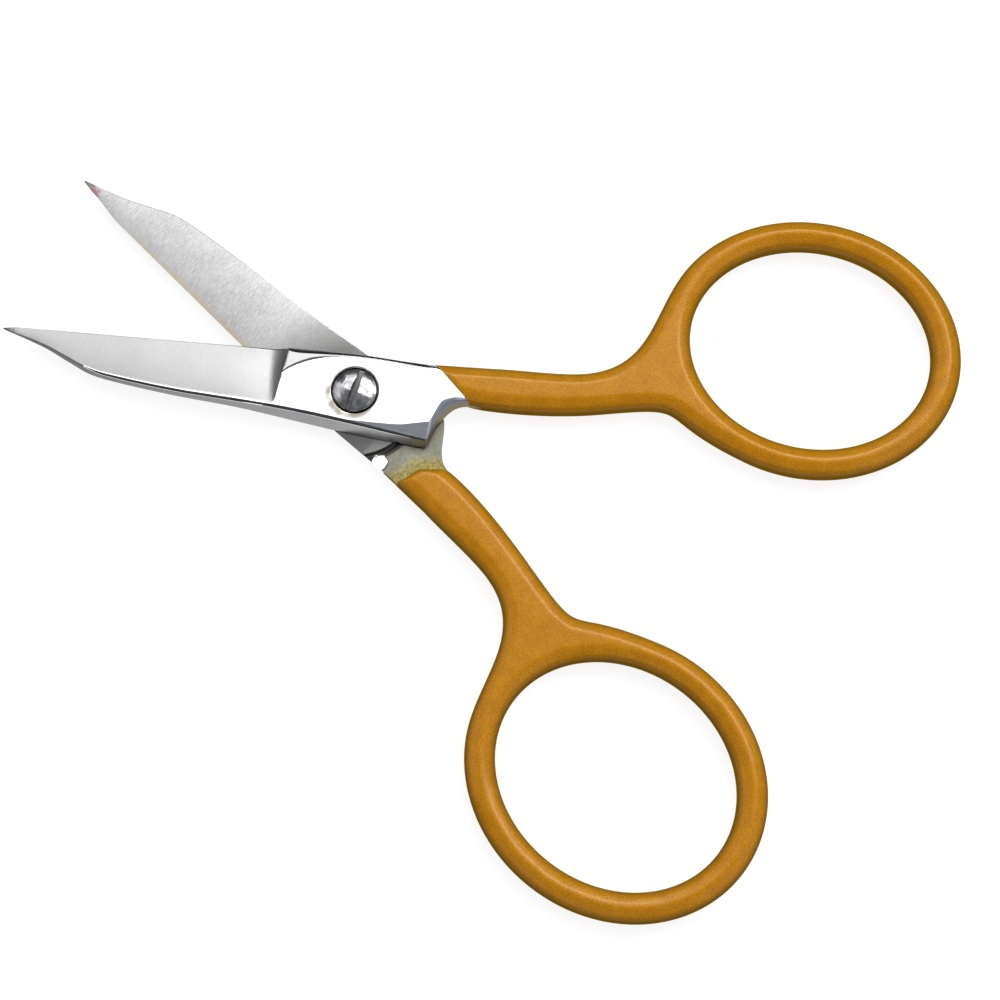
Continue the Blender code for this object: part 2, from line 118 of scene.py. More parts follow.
CREASE_GAP = (0.12, 0.22)
CREASE_GROOVE_WIDTH = 0.34
CREASE_GROOVE_INNER = 2.6
CREASE_GROOVE_SHARE = 0.45
FACET_LINE = (
    (-8.1, 0.3), (-7.6, 0.9), (-6.3, 1.85), (-4.6, 2.70), (-2.6, 3.30), (1.5, 3.72), (8.0, 4.10),
    (13.4, 4.73),
)
FACET_GROOVE = ((-9.0, 0.0), (-7.4, 0.12), (-4.0, 0.10), (-2.0, 0.01), (1.0, 0.0), (12.0, 0.0))
SHOULDER_DRAFT = (
    (TIP_X, 0.06), (-33.0, 0.34), (-29.0, 0.36), (-27.0, 0.22), (-14.0, 0.28), (-6.0, 0.72),
    (0.0, 0.82), (8.4, 0.62), (9.3, 1.10), (10.2, 0.75), (11.5, 0.38), (13.4, 0.20),
)
TOP_EDGE_DRAFT = (
    (TIP_X, 0.02), (-14.0, 0.10), (-1.5, 0.20), (1.5, 0.50), (3.5, 0.78), (5.5, 1.12), (7.5, 1.75),
    (8.6, 1.95), (9.3, 1.20), (9.9, 0.75), (10.6, 0.42), (11.5, 0.22), (12.5, 0.14), (13.4, 0.12),
)

# Handle outline and section
RING_CENTRE = (46.85, 14.39)
RING_HOLE_LONG = 13.0
RING_HOLE_SHORT = 11.13
RING_TILT_DEG = -2.3
RIM_WIDTH = 3.2
RING_JOIN_TOP_DEG = 155.0
RING_JOIN_LOW_DEG = -105.0
SHANK_START_TOP = (6.0, 4.60)
SHANK_START_LOW = (10.4, 0.80)
SHANK_TOP_MID = (14.0, 5.50)
SHANK_TOP_END = (22.0, 6.47)
SHANK_TOP_RUN = (0.985, 0.16)
SHANK_TOP_REACH = (2.0, 3.0, 9.2, 6.5)
SHANK_LOW_MID = (13.4, 0.68)
SHANK_LOW_END = (26.0, 2.88)
SHANK_LOW_RUN = (0.960, 0.280)
SHANK_LOW_REACH = (11.7, 10.9, 4.0)
SHANK_LOW_LEAVE = (4.0, 0.15)
LOW_END_SHARE = 0.27
HANDLE_HALF_THICKNESS = 1.8
HANDLE_ROUNDING = 1.6
CREST_START = 0.3
CREST_END = 1.55
CREST_DROP = 0.06
CREST_LOW_Z = 0.5
CREST_HIGH_Z = 1.1
CREST_SPACING = 0.15

# Coat boundary and neck relief
COAT_LINE_DISTANCE = 8.42
COAT_LINE_DEG = 51.05
RELIEF_INNER_RADIUS = 6.8
RELIEF_OUTER_RADIUS = 10.85
RELIEF_DEPTH = 0.12
COAT_CREST = 0.9
NECK_FLOOR_Z = 0.55
COAT_FLOOR_DROP = 0.22
COAT_GAP = 0.03
COAT_OVERLAP = 0.05
RELIEF_GAP = 0.15
RELIEF_SPAN_DEG = 80.0
RELIEF_BEYOND = 6.0
RELIEF_CORNER = (12.0, -8.0)
GROOVE_RADIUS = 0.34
GROOVE_DEPTH = 0.26
GROOVE_OFFSET = 0.12
GROOVE_SPAN_DEG = 74.0
THINNING_START_Z = 0.3
THINNING = 0.07
EDGE_THINNING = 0.10
COAT_WAVE = 0.10
FRONT_COAT_CORNER = 1.1
COAT_CORNER_PLACE = -9.6
COAT_CORNER_RUN = 1.2
WAVE_REACH = 7.5
BLOCK_REACH = 30.0
BLOCK_HEIGHT = 20.0
BLOCK_DEPTH = 60.0

# Pivot screw
HEAD_RADIUS = 2.38
HEAD_SEAT_Z = 1.15
HEAD_RIM_Z = 1.78
HEAD_DOME = 0.62
SHANK_RADIUS = 1.25
FRONT_HOLE_RADIUS = 1.30
REAR_HOLE_RADIUS = 1.28
SEAT_RADIUS = 2.50
SLOT_WIDTH = 0.62
SLOT_DEPTH = 0.55
SLOT_ANGLE_DEG = 109.0
SLOT_REACH = 3.5
SLOT_SECTION = ((-0.05, 0.0), (0.0, 0.05), (0.0, 0.34), (0.03, 0.45), (0.12, 0.56), (0.2, 1.6))
RIM_EASE = 0.16
BORE_EASE = 0.12
END_ROUND = (0.14, 0.16)
END_GAP = 0.02
CUT_BEYOND = 3.0

# Fineness of the drawn surfaces
BLADE_STEP = 0.3
BOSS_STEP = 0.25
FINE_STEP = 0.12
TIP_FINE_X = -37.0
NECK_FINE_X = 7.4
GRIND_END_STEPS = 18
LIP_STEPS = 5
ACROSS_OUTER = 6
ACROSS_GROOVE = 14
ACROSS_INNER = 16
CORNER_STEPS = 4
RING_SEGMENTS = 200
ROUND_SEGMENTS = 96
BORE_SEGMENTS = 72
BEND_STEPS = 30
COAT_VOXEL = 0.13
COAT_SMOOTHING = 9
STEEL_CREASE_DEG = 30.0
SCREW_CREASE_DEG = 35.0

# Camera and studio
CAMERA_AZIMUTH_DEG = 25.118
CAMERA_ELEVATION_DEG = 75.885
CAMERA_DISTANCE = 0.236837
CAMERA_TARGET = (0.008665, -0.003931, 0.0018)
CAMERA_LENS = 80.67
CAMERA_SENSOR = 36.0
FLOOR_REACH = 1.5
FLOOR_DROP = 0.00002


# Finishes of the steel faces, by material index; the tops get theirs in the loft
STEEL_FINISHES = 9
MIRROR, SATIN, FLANK, FACE, NECK, FILLET, SEAT, EDGE, FACET = range(STEEL_FINISHES)
TOP = -1
TOP_OUTER = -2
PLACE = "closed_place_mm"


# -------- shapes

def along(line, x):
    """Smooth height of a line of points at x, held flat beyond its ends."""
    if x <= line[0][0]:
        return line[0][1]
    if x >= line[-1][0]:
        return line[-1][1]
    i = next(k for k in range(len(line) - 1) if x <= line[k + 1][0])
    before, start, end, after = line[max(i - 1, 0)], line[i], line[i + 1], line[min(i + 2, len(line) - 1)]
    width = end[0] - start[0]
    rise_start = (end[1] - before[1]) / (end[0] - before[0]) * width
    rise_end = (after[1] - start[1]) / (after[0] - start[0]) * width
    t = (x - start[0]) / width
    square = t * t
    cube = square * t
    return (
        start[1] * (2 * cube - 3 * square + 1)
        + rise_start * (cube - 2 * square + t)
        + end[1] * (3 * square - 2 * cube)
        + rise_end * (cube - square)
    )


def ease(x, start, end):
    """Smooth rise from 0 at start to 1 at end."""
    t = min(max((x - start) / (end - start), 0.0), 1.0)
    return t * t * (3 - 2 * t)


def lerp(a, b, t):
    return a + (b - a) * t


def flat(point, shift=0.0):
    return Vector((point[0], point[1] + shift, 0.0))


def polar(radius, angle_deg, z=0.0):
    angle = math.radians(angle_deg)
    return Vector((radius * math.cos(angle), radius * math.sin(angle), z))


def quarter(steps, first=0):
    """Sine and cosine of even steps through a quarter turn."""
    for k in range(first, steps + 1):
        angle = math.radians(90.0 * k / steps)
        yield math.sin(angle), math.cos(angle)


def spine_y(x, trim):
    if x <= SPINE_LINE[-1][0]:
        return along(SPINE_LINE, x)
    start = NECK_LINE[0][0]
    moved = x - trim["neck"] * ease(x, start, NECK_LINE[1][0])
    return along(NECK_LINE, moved) + trim["low"] * ease(x, start, NECK_LINE[2][0])


def cutting_y(x, trim):
    if x >= HEEL_X:
        fade = ease(x, TOP_TRIM_START_X, SHANK_TOP_MID[0])
        gain = trim["edge"] * (1 - ease(x, HEEL_X, GRIND_END_X + GRIND_FADE_RUN))
        return along(BOSS_LINE, x) + trim["top"] * fade + gain
    gain = trim["edge"] * ease(x, EDGE_START_X, EDGE_START_X + EDGE_TRIM_RUN)
    if x >= EDGE_START_X:
        share = (x - EDGE_START_X) / (HEEL_X - EDGE_START_X)
        return EDGE_START_Y + share * (HEEL_Y - EDGE_START_Y) + gain
    share = (x - TIP_X) / (EDGE_START_X - TIP_X)
    start = along(SPINE_LINE, TIP_X) + TIP_WIDTH
    return start + share * (EDGE_START_Y - start)


def rounded(corners, steps):
    """Closed line of (point, finish) whose corners are rounded; corners are (x, y, z, radius, finish)."""
    points = []
    count = len(corners)
    for i, (x, y, z, radius, finish) in enumerate(corners):
        here = Vector((x, y, z))
        if radius <= 0:
            points.append((here, finish))
            continue
        before = Vector(corners[i - 1][:3]) - here
        after = Vector(corners[(i + 1) % count][:3]) - here
        reach = min(radius, 0.45 * before.length, 0.45 * after.length)
        start = here + before.normalized() * reach
        end = here + after.normalized() * reach
        incoming = corners[i - 1][4]
        for k in range(steps + 1):
            t = k / steps
            place = start * (1 - t) ** 2 + here * (2 * t * (1 - t)) + end * t * t
            points.append((place, finish if k == steps else incoming))
    return points


def steel_section(x, climb, trim):
    """One closed section of a steel half; climb is how far the grind has risen to the boss."""
    low = spine_y(x, trim)
    high = cutting_y(x, trim)
    width = high - low
    on_blade = 1 - ease(x, HEEL_X - 0.5, GRIND_END_X)
    narrow = min(1.0, width / FULL_CHAMFER_WIDTH)

    shoulder = low + min(along(SHOULDER_DRAFT, x), DRAFT_SHARE * width) - SPINE_SHIFT * narrow
    chamfer = along(SPINE_CHAMFER, x) * narrow
    bevel = max(LEAST_BEVEL, along(TOP_EDGE_DRAFT, x) - chamfer) * narrow
    bevel_out = shoulder + chamfer
    bevel_in = bevel_out + bevel
    land = bevel_in + along(LAND_WIDTH, x) * narrow

    thin = EDGE_THICKNESS + FACE_GAP
    top = min(BOSS_TOP, thin + GRIND_SLOPE * (high - land))
    top = lerp(BOSS_TOP, top, on_blade)
    bevel_z = top - along(SPINE_BEVEL_SLOPE, x) * bevel
    shoulder_z = max(bevel_z - SPINE_CHAMFER_SLOPE * chamfer, LEAST_SHOULDER * top)

    draft = along(CUTTING_SIDE_DRAFT, x) * min(1.0, width / FULL_DRAFT_WIDTH)
    edge_chamfer = min(along(CUTTING_CHAMFER, x), CHAMFER_SHARE * width)
    corner = high - draft - edge_chamfer
    round_in = min(max((x - (GRIND_END_X - GRIND_CORNER)) / GRIND_CORNER, 0.0), 1.0)
    corner_rise = 1 - math.sqrt(1 - round_in * round_in)
    if x > GRIND_END_X:
        corner_rise = 1 - ease(x, GRIND_END_X, GRIND_END_X + GRIND_FADE_RUN)
    grind_land = land + GRIND_CORNER * corner_rise

    crease = corner - CREASE_SHARE * (corner - land)
    crease = lerp(crease, along(FACET_LINE, x), ease(x, CREASE_START_X, GRIND_END_X))
    crease = min(crease, corner - min(CREASE_GAP[0] * (corner - land), CREASE_GAP[1]))
    groove_half = min(CREASE_GROOVE_WIDTH, CREASE_GROOVE_SHARE * (corner - crease))
    groove_inner = CREASE_GROOVE_INNER * groove_half
    stretches = (
        (corner, crease + groove_half, ACROSS_OUTER),
        (crease + groove_half, crease - groove_inner, ACROSS_GROOVE),
        (crease - groove_inner, grind_land, ACROSS_INNER),
    )
    across = [lerp(start, end, k / steps) for start, end, steps in stretches for k in range(steps)]
    across.append(grind_land)

    near_end = ease(x, GRIND_START_X - TAPER_RUN, GRIND_START_X)
    pull = GRIND_END_TAPER * near_end * min(max(GRIND_END_X - x, 0.0), GRIND_END_LENGTH)
    land_x = x + pull
    tops = []
    for number, y in enumerate(across):
        share = (y - grind_land) / max(corner - grind_land, 1e-6)
        hollow = HOLLOW_DEPTH * min(1.0, width / FULL_HOLLOW_WIDTH) * 4 * share * (1 - share)
        ground = thin + (top - thin) * (1 - share) - hollow
        ceiling = BOSS_TOP - FACET_SLOPE * max(0.0, y - crease)
        reach = groove_half if y > crease else groove_inner
        dip = 1 - min(abs(y - crease) / reach, 1.0)
        ceiling -= along(FACET_GROOVE, x) * dip * dip * (3 - 2 * dip)
        place_x = x + pull * (1 - min(max(share, 0.0), 1.0))
        radius = 0.03 if number == 0 else 0.0
        look = TOP_OUTER if number < ACROSS_OUTER + ACROSS_GROOVE // 4 else TOP
        tops.append((place_x, y, lerp(ground, ceiling, climb), radius, look))

    edge_z = tops[0][2]
    chamfer_z = edge_z - CUTTING_CHAMFER_SLOPE * edge_chamfer
    chamfer_z = lerp(chamfer_z, max(edge_z - 0.1, FACE_GAP + 0.02), on_blade)
    chamfer_look = FLANK if x < HEEL_X else FACET
    buffed = EDGE if LAND_START_X < x < NECK_LINE[0][0] else FLANK
    last = tops.pop()
    return rounded([
        (x, low, FACE_GAP, 0.10 * narrow, FACE),
        (x, high, FACE_GAP, lerp(0.05, 0.008, on_blade), FLANK),
        (x, high - draft, chamfer_z, lerp(0.06, 0.008, on_blade), chamfer_look),
        *tops,
        (*last[:4], buffed),
        (land_x, land, top, 0.0, buffed),
        (land_x, bevel_in, top, 0.02, buffed),
        (land_x, bevel_out, bevel_z, 0.02, buffed),
        (x, shoulder, shoulder_z, 0.04, FLANK),
    ], CORNER_STEPS)


def steel_stations():
    """Places along X where the steel is drawn, each with how far the grind has climbed."""
    places = []
    x = TIP_X
    while x < GRIND_START_X - 0.01:
        places.append((x, 0.0))
        x += FINE_STEP if x < TIP_FINE_X else BLADE_STEP
    steep = math.radians(GRIND_END_STEEP_DEG)
    for k in range(GRIND_END_STEPS + 1):
        angle = steep * k / GRIND_END_STEPS
        rise = (1 - math.cos(angle)) / (1 - math.cos(steep))
        run = GRIND_END_LENGTH * (1 - math.sin(angle) / math.sin(steep))
        places.append((GRIND_END_X - run, GRIND_CLIMB * rise))
    for sine, cosine in quarter(LIP_STEPS, 1):
        climb = GRIND_CLIMB + (1 - GRIND_CLIMB) * sine
        places.append((GRIND_END_X + LIP_GAP + LIP_RUN * (1 - cosine), climb))
    x = GRIND_END_X + LIP_BEYOND
    while x < NECK_LINE[-1][0]:
        places.append((x, 1.0))
        x += BOSS_STEP if x < NECK_FINE_X else FINE_STEP
    places.append((NECK_LINE[-1][0], 1.0))
    return places


def bridge(mesh, first, second):
    """Faces between two closed rings of vertices."""
    return [
        mesh.faces.new(corners)
        for corners in zip(first, first[1:] + first[:1], second[1:] + second[:1], second)
    ]


def steel_plate(name, trim):
    """Blade, boss and neck as one lofted skin with a finish for each of its surfaces."""
    mesh = bmesh.new()
    stations = steel_stations()
    rings = []
    looks = []
    for x, climb in stations:
        section = steel_section(x, climb, trim)
        rings.append([mesh.verts.new(place) for place, finish in section])
        looks.append([finish for place, finish in section])
    for (x, climb), look, first, second in zip(stations, looks, rings, rings[1:]):
        if climb >= GRIND_CLIMB - 0.05:
            tops = {TOP: MIRROR, TOP_OUTER: FACET}
        else:
            ground = FILLET if climb > 0 else SATIN
            tops = {TOP: ground, TOP_OUTER: ground}
        for finish, face in zip(look, bridge(mesh, first, second)):
            face.smooth = True
            face.material_index = tops.get(finish, finish)
    mesh.faces.new(rings[0][::-1]).material_index = FLANK
    mesh.faces.new(rings[-1]).material_index = FLANK
    plate = as_solid(mesh, name)
    for k in range(STEEL_FINISHES):
        plate.data.materials.append(bpy.data.materials.new("blank"))
    return plate


def in_scene(name, data):
    """A new object, linked to the scene."""
    item = bpy.data.objects.new(name, data)
    bpy.context.scene.collection.objects.link(item)
    return item


def as_object(mesh, name):
    data = bpy.data.meshes.new(name)
    mesh.to_mesh(data)
    mesh.free()
    return in_scene(name, data)


def as_solid(mesh, name):
    """Object made from a closed mesh, its faces turned outwards."""
    bmesh.ops.recalc_face_normals(mesh, faces=mesh.faces[:])
    return as_object(mesh, name)


def capped(rings):
    """A cutting tool through closed rings of points, closed at both ends."""
    mesh = bmesh.new()
    rings = [[mesh.verts.new(place) for place in ring] for ring in rings]
    for first, second in zip(rings, rings[1:]):
        bridge(mesh, first, second)
    mesh.faces.new(rings[0][::-1])
    mesh.faces.new(rings[-1])
    return as_solid(mesh, "cutter")


def ring_point(angle_deg, growth):
    """Point on the ring ellipse grown outwards, and the direction of travel for falling angle."""
    turn = Matrix.Rotation(math.radians(RING_TILT_DEG), 3, "Z")
    angle = math.radians(angle_deg)
    long = RING_HOLE_LONG + growth
    short = RING_HOLE_SHORT + growth
    out = turn @ Vector((long * math.cos(angle), short * math.sin(angle), 0.0))
    travel = turn @ Vector((long * math.sin(angle), -short * math.cos(angle), 0.0))
    return flat(RING_CENTRE) + out, travel.normalized()


def bend(start, leave, arrive, end, steps):
    """Points of one curved stretch, without its last point."""
    points = interpolate_bezier(start, leave, arrive, end, steps + 1)
    return [Vector(p) for p in points[:-1]]


def handle_outline(trim):
    """Outer outline of shank and ring, clockwise from the start of the shank's upper edge."""
    top_mid = flat(SHANK_TOP_MID, trim["top"])
    top_end = flat(SHANK_TOP_END, trim["top"])
    low_end = flat(SHANK_LOW_END, trim["low"] * LOW_END_SHARE)
    low_mid = flat(SHANK_LOW_MID, trim["low"])
    join_top, climb = ring_point(RING_JOIN_TOP_DEG, RIM_WIDTH)
    join_low, fall = ring_point(RING_JOIN_LOW_DEG, RIM_WIDTH)
    rise = flat(SHANK_TOP_RUN)
    sink = flat(SHANK_LOW_RUN)
    leave, arrive, swing, land = SHANK_TOP_REACH
    points = [flat(SHANK_START_TOP)]
    points += bend(top_mid, top_mid + rise * leave, top_end - rise * arrive, top_end, BEND_STEPS // 2)
    points += bend(top_end, top_end + rise * swing, join_top - climb * land, join_top, BEND_STEPS)
    sweep = RING_JOIN_TOP_DEG - RING_JOIN_LOW_DEG
    arc_steps = round(RING_SEGMENTS * sweep / 360.0)
    for k in range(arc_steps):
        points.append(ring_point(RING_JOIN_TOP_DEG - sweep * k / arc_steps, RIM_WIDTH)[0])
    leave, arrive, swing = SHANK_LOW_REACH
    points += bend(join_low, join_low + fall * leave, low_end + sink * arrive, low_end, BEND_STEPS)
    low_turn = low_mid + flat(SHANK_LOW_LEAVE)
    points += bend(low_end, low_end - sink * swing, low_turn, low_mid, BEND_STEPS // 2)
    return [*points, low_mid, flat(SHANK_START_LOW, trim["low"])]


def flat_solid(name, outlines):
    """A filled flat outline made into a plate as thick as the handle, with rounded edges."""
    curve = bpy.data.curves.new(name, "CURVE")
    curve.dimensions = "2D"
    curve.fill_mode = "BOTH"
    curve.extrude = HANDLE_HALF_THICKNESS - HANDLE_ROUNDING
    curve.bevel_depth = HANDLE_ROUNDING
    curve.bevel_resolution = 7
    curve.offset = -HANDLE_ROUNDING
    for outline in outlines:
        spline = curve.splines.new("POLY")
        spline.points.add(len(outline) - 1)
        for point, place in zip(spline.points, outline):
            point.co = (*place, 1.0)
        spline.use_cyclic_u = True
    carrier = in_scene(name + "_outline", curve)
    data = evaluated_mesh(carrier)
    bpy.data.objects.remove(carrier, do_unlink=True)
    mesh = bmesh.new()
    mesh.from_mesh(data)
    bpy.data.meshes.remove(data)
    bmesh.ops.remove_doubles(mesh, verts=mesh.verts[:], dist=0.002)
    bmesh.ops.triangulate(mesh, faces=mesh.faces[:])
    return as_solid(mesh, name)


def coat_line_normal():
    return polar(1.0, COAT_LINE_DEG)


def slant_block(distance, side, low_z, wave=0.0, corner=0.0):
    """A large block on one side of the slanting coat line, with a slightly uneven face."""
    normal = coat_line_normal()
    line = Vector((-normal.y, normal.x, 0.0))
    face = []
    steps = 120
    for k in range(steps + 1):
        reach = lerp(-BLOCK_REACH, BLOCK_REACH, k / steps)
        uneven = corner * min(max(0.0, COAT_CORNER_PLACE - reach), COAT_CORNER_RUN) ** 2
        if abs(reach) < WAVE_REACH:
            uneven += wave * noise.noise(Vector((reach * 1.3, 4.1, 0.7)))
        face.append(normal * (distance + uneven) + line * reach)
    back = normal * side * BLOCK_DEPTH
    face += [face[-1] + back, face[0] + back]
    return capped([[(p.x, p.y, z) for p in face] for z in (low_z, BLOCK_HEIGHT)])


def relief_outline(outer_radius, line_distance):
    """Neck relief: between the ride circle and the coat, so the other boss can swing past."""
    normal = coat_line_normal()
    line = Vector((normal.y, -normal.x, 0.0))
    reach = math.sqrt(outer_radius ** 2 - line_distance ** 2)
    meet = normal * line_distance + line * reach
    meet_deg = math.degrees(math.atan2(meet.y, meet.x))
    arcs = (
        (RELIEF_INNER_RADIUS, -RELIEF_SPAN_DEG, RELIEF_SPAN_DEG, 60),
        (outer_radius, RELIEF_SPAN_DEG, meet_deg, 40),
    )
    points = [
        polar(radius, lerp(start, end, k / steps))
        for radius, start, end, steps in arcs
        for k in range(steps + 1)
    ]
    return [*points, meet + line * RELIEF_BEYOND, flat(RELIEF_CORNER)]


def relief_cutter(growth, crest):
    """Cutter for the neck relief: a flat floor, a steep wall and, for a coat, a rounded crest."""
    floor = FACE_GAP + RELIEF_DEPTH + (COAT_FLOOR_DROP if crest > 0 else 0.0)
    levels = [(floor, -0.14), (floor - 0.04, -0.06), (floor - 0.10, -0.01), (0.0, 0.0)]
    if crest > 0:
        steps = 8
        for k in range(steps + 1):
            t = k / steps
            levels.append((-HANDLE_HALF_THICKNESS + crest * (1 - t), crest * (1 - math.sqrt(1 - t * t))))
    levels.append((-HANDLE_HALF_THICKNESS - 0.6, crest + 0.2))
    rings = []
    for z, spread in levels:
        reach = growth + spread
        outline = relief_outline(RELIEF_OUTER_RADIUS + reach, COAT_LINE_DISTANCE + reach)
        rings.append([(p.x, p.y, z) for p in outline])
    return capped(rings)


def relief_groove():
    """Round groove that the grinding wheel left where the ride face ends."""
    middle = RELIEF_INNER_RADIUS + GROOVE_OFFSET
    base = FACE_GAP - GROOVE_RADIUS + GROOVE_DEPTH
    steps = 90
    segments = 18
    rings = []
    for k in range(steps + 1):
        turn_deg = lerp(-GROOVE_SPAN_DEG, GROOVE_SPAN_DEG, k / steps)
        ring = []
        for i in range(segments):
            spot = polar(GROOVE_RADIUS, 360.0 * i / segments)
            ring.append(polar(middle + spot.x, turn_deg, base + spot.y))
        rings.append(ring)
    return capped(rings)


def turned(name, profile, segments=ROUND_SEGMENTS):
    """A solid turned about Z from (radius, height) points, starting and ending on the axis."""
    mesh = bmesh.new()
    poles = [mesh.verts.new((0.0, 0.0, z)) for radius, z in (profile[0], profile[-1])]
    rings = [
        [mesh.verts.new(polar(radius, 360.0 * k / segments, z)) for k in range(segments)]
        for radius, z in profile[1:-1]
    ]
    for first, second in zip(rings, rings[1:]):
        bridge(mesh, first, second)
    for pole, ring in zip(poles, (rings[0], rings[-1])):
        for here, after in zip(ring, ring[1:] + ring[:1]):
            mesh.faces.new((pole, here, after))
    for face in mesh.faces:
        face.smooth = True
    return as_solid(mesh, name)


def evaluated_mesh(item):
    """Mesh of an item with its modifiers applied."""
    bpy.context.view_layer.update()
    depsgraph = bpy.context.evaluated_depsgraph_get()
    return bpy.data.meshes.new_from_object(item.evaluated_get(depsgraph))


def apply_modifiers(item):
    data = evaluated_mesh(item)
    old = item.data
    item.modifiers.clear()
    item.data = data
    bpy.data.meshes.remove(old)


def subtract(item, tool):
    """Cut a tool out of an item, and use the tool up."""
    step = item.modifiers.new("Cut", "BOOLEAN")
    step.operation = "DIFFERENCE"
    step.solver = "EXACT"
    step.object = tool
    apply_modifiers(item)
    bpy.data.objects.remove(tool, do_unlink=True)


def set_materials(item, materials):
    """Give an item its materials without losing which face has which."""
    indices = [face.material_index for face in item.data.polygons]
    item.data.materials.clear()
    for material in materials:
        item.data.materials.append(material)
    item.data.polygons.foreach_set("material_index", [min(i, len(materials) - 1) for i in indices])


def put_in_place(item, turned_over, angle_deg):
    """Note each point's place in the closed half for the finishes, then lay the piece at rest."""
    places = [0.0] * (3 * len(item.data.vertices))
    item.data.vertices.foreach_get("co", places)
    item.data.attributes.new(PLACE, "FLOAT_VECTOR", "POINT").data.foreach_set("vector", places)
    over = Matrix.Rotation(math.pi, 4, "X") if turned_over else Matrix.Identity(4)
    turn = Matrix.Rotation(math.radians(angle_deg), 4, "Z")
    spot = Matrix.Translation((PIVOT_X * MM, 0.0, PARTING_Z * MM))
    item.data.transform(spot @ turn @ over @ Matrix.Scale(MM, 4))
    item.data.update()


def thin_under_coat(item):
    """Draw the steel in a little where it runs up to the coat, so that the coat stands proud."""
    normal = coat_line_normal()
    for vertex in item.data.vertices:
        place = vertex.co
        reach = place.dot(normal) - COAT_LINE_DISTANCE
        if place.z > THINNING_START_Z:
            near = ease(reach, -0.9, 0.0)
            place.z -= THINNING * near * (place.z - THINNING_START_Z) / (BOSS_TOP - THINNING_START_Z)
        if place.y > 3.5:
            place.y -= EDGE_THINNING * ease(reach, -0.3, 0.5)


def classify(item):
    """Give the faces that the cuts made, and the neck, their finish."""
    normal = coat_line_normal()
    groove_start = RELIEF_INNER_RADIUS + GROOVE_OFFSET - GROOVE_RADIUS
    for face in item.data.polygons:
        spot = face.center
        radius = math.hypot(spot.x, spot.y)
        raised = FACE_GAP + 0.004 < spot.z < FACE_GAP + RELIEF_DEPTH + 0.9
        if spot.x > 0 and raised and radius > groove_start and face.normal.z < -0.02:
            face.material_index = NECK
        if spot.dot(normal) > COAT_LINE_DISTANCE + 0.1 and spot.z < NECK_FLOOR_Z + 0.1:
            face.material_index = NECK
        if radius < SEAT_RADIUS + 0.01 and FACE_GAP + 0.01 < spot.z < BOSS_TOP - 0.1:
            face.material_index = SEAT


def steel_half(name, trim, bore):
    """One steel half: the plate without its coated part, with relief, groove and screw hole."""
    half = steel_plate(name, trim)
    thin_under_coat(half)
    subtract(half, slant_block(COAT_LINE_DISTANCE + COAT_GAP, 1, NECK_FLOOR_Z))
    subtract(half, relief_cutter(RELIEF_GAP, 0.0))
    subtract(half, relief_groove())
    subtract(half, bore)
    classify(half)
    return half


def head_seat():
    """Screw hole with a counterbored seat whose rim is eased."""
    seat_z = HEAD_SEAT_Z - 0.03
    profile = [(0.0, -1.0), (FRONT_HOLE_RADIUS, -1.0), (FRONT_HOLE_RADIUS, seat_z), (SEAT_RADIUS, seat_z)]
    for sine, cosine in quarter(6):
        profile.append((SEAT_RADIUS + RIM_EASE * (1 - cosine), BOSS_TOP - RIM_EASE * (1 - sine)))
    profile += [(SEAT_RADIUS + RIM_EASE + 0.05, CUT_BEYOND), (0.0, CUT_BEYOND)]
    return turned("seat", profile)


def rear_bore():
    """Screw hole through the rear half with an eased rim at its outer face."""
    wide = REAR_HOLE_RADIUS + BORE_EASE
    profile = [(0.0, -CUT_BEYOND), (REAR_HOLE_RADIUS, -CUT_BEYOND)]
    profile += [(REAR_HOLE_RADIUS, BOSS_TOP - BORE_EASE), (wide, BOSS_TOP + 0.01)]
    profile += [(wide, CUT_BEYOND), (0.0, CUT_BEYOND)]
    return turned("bore", profile, BORE_SEGMENTS)


def handle_coat(name, trim, corner):
    """The sprayed coat of one handle, soft at every edge."""
    hole = [ring_point(360.0 * k / RING_SEGMENTS, 0.0)[0] for k in range(RING_SEGMENTS)]
    outlines = [handle_outline(trim), hole]
    coat = flat_solid(name, outlines)
    start = COAT_LINE_DISTANCE - COAT_OVERLAP
    subtract(coat, slant_block(start, -1, -BLOCK_HEIGHT, COAT_WAVE, corner))
    subtract(coat, relief_cutter(0.0, COAT_CREST))
    grid = coat.modifiers.new("Skin", "REMESH")
    grid.mode = "VOXEL"
    grid.voxel_size = COAT_VOXEL
    grid.use_smooth_shade = True
    soft = coat.modifiers.new("Soft", "SMOOTH")
    soft.factor = 0.5
    soft.iterations = COAT_SMOOTHING
    apply_modifiers(coat)
    raise_crest(coat, outlines)
    return coat


def raise_crest(coat, outlines):
    """Draw the rounded sides in a little, so that a soft crest runs along inside every edge."""
    spots = []
    for outline in outlines:
        for here, after in zip(outline, outline[1:] + outline[:1]):
            steps = max(1, round((after - here).length / CREST_SPACING))
            spots += [here.lerp(after, k / steps) for k in range(steps)]
    tree = KDTree(len(spots))
    for i, spot in enumerate(spots):
        tree.insert(spot, i)
    tree.balance()
    for vertex in coat.data.vertices:
        place = vertex.co
        if abs(place.z) < CREST_LOW_Z:
            continue
        inside = tree.find((place.x, place.y, 0.0))[2]
        share = (inside - CREST_START) / (CREST_END - CREST_START)
        if 0 < share < 1:
            lift = ease(abs(place.z), CREST_LOW_Z, CREST_HIGH_Z)
            place.z -= math.copysign(CREST_DROP * lift * math.sin(math.pi * share) ** 2, place.z)


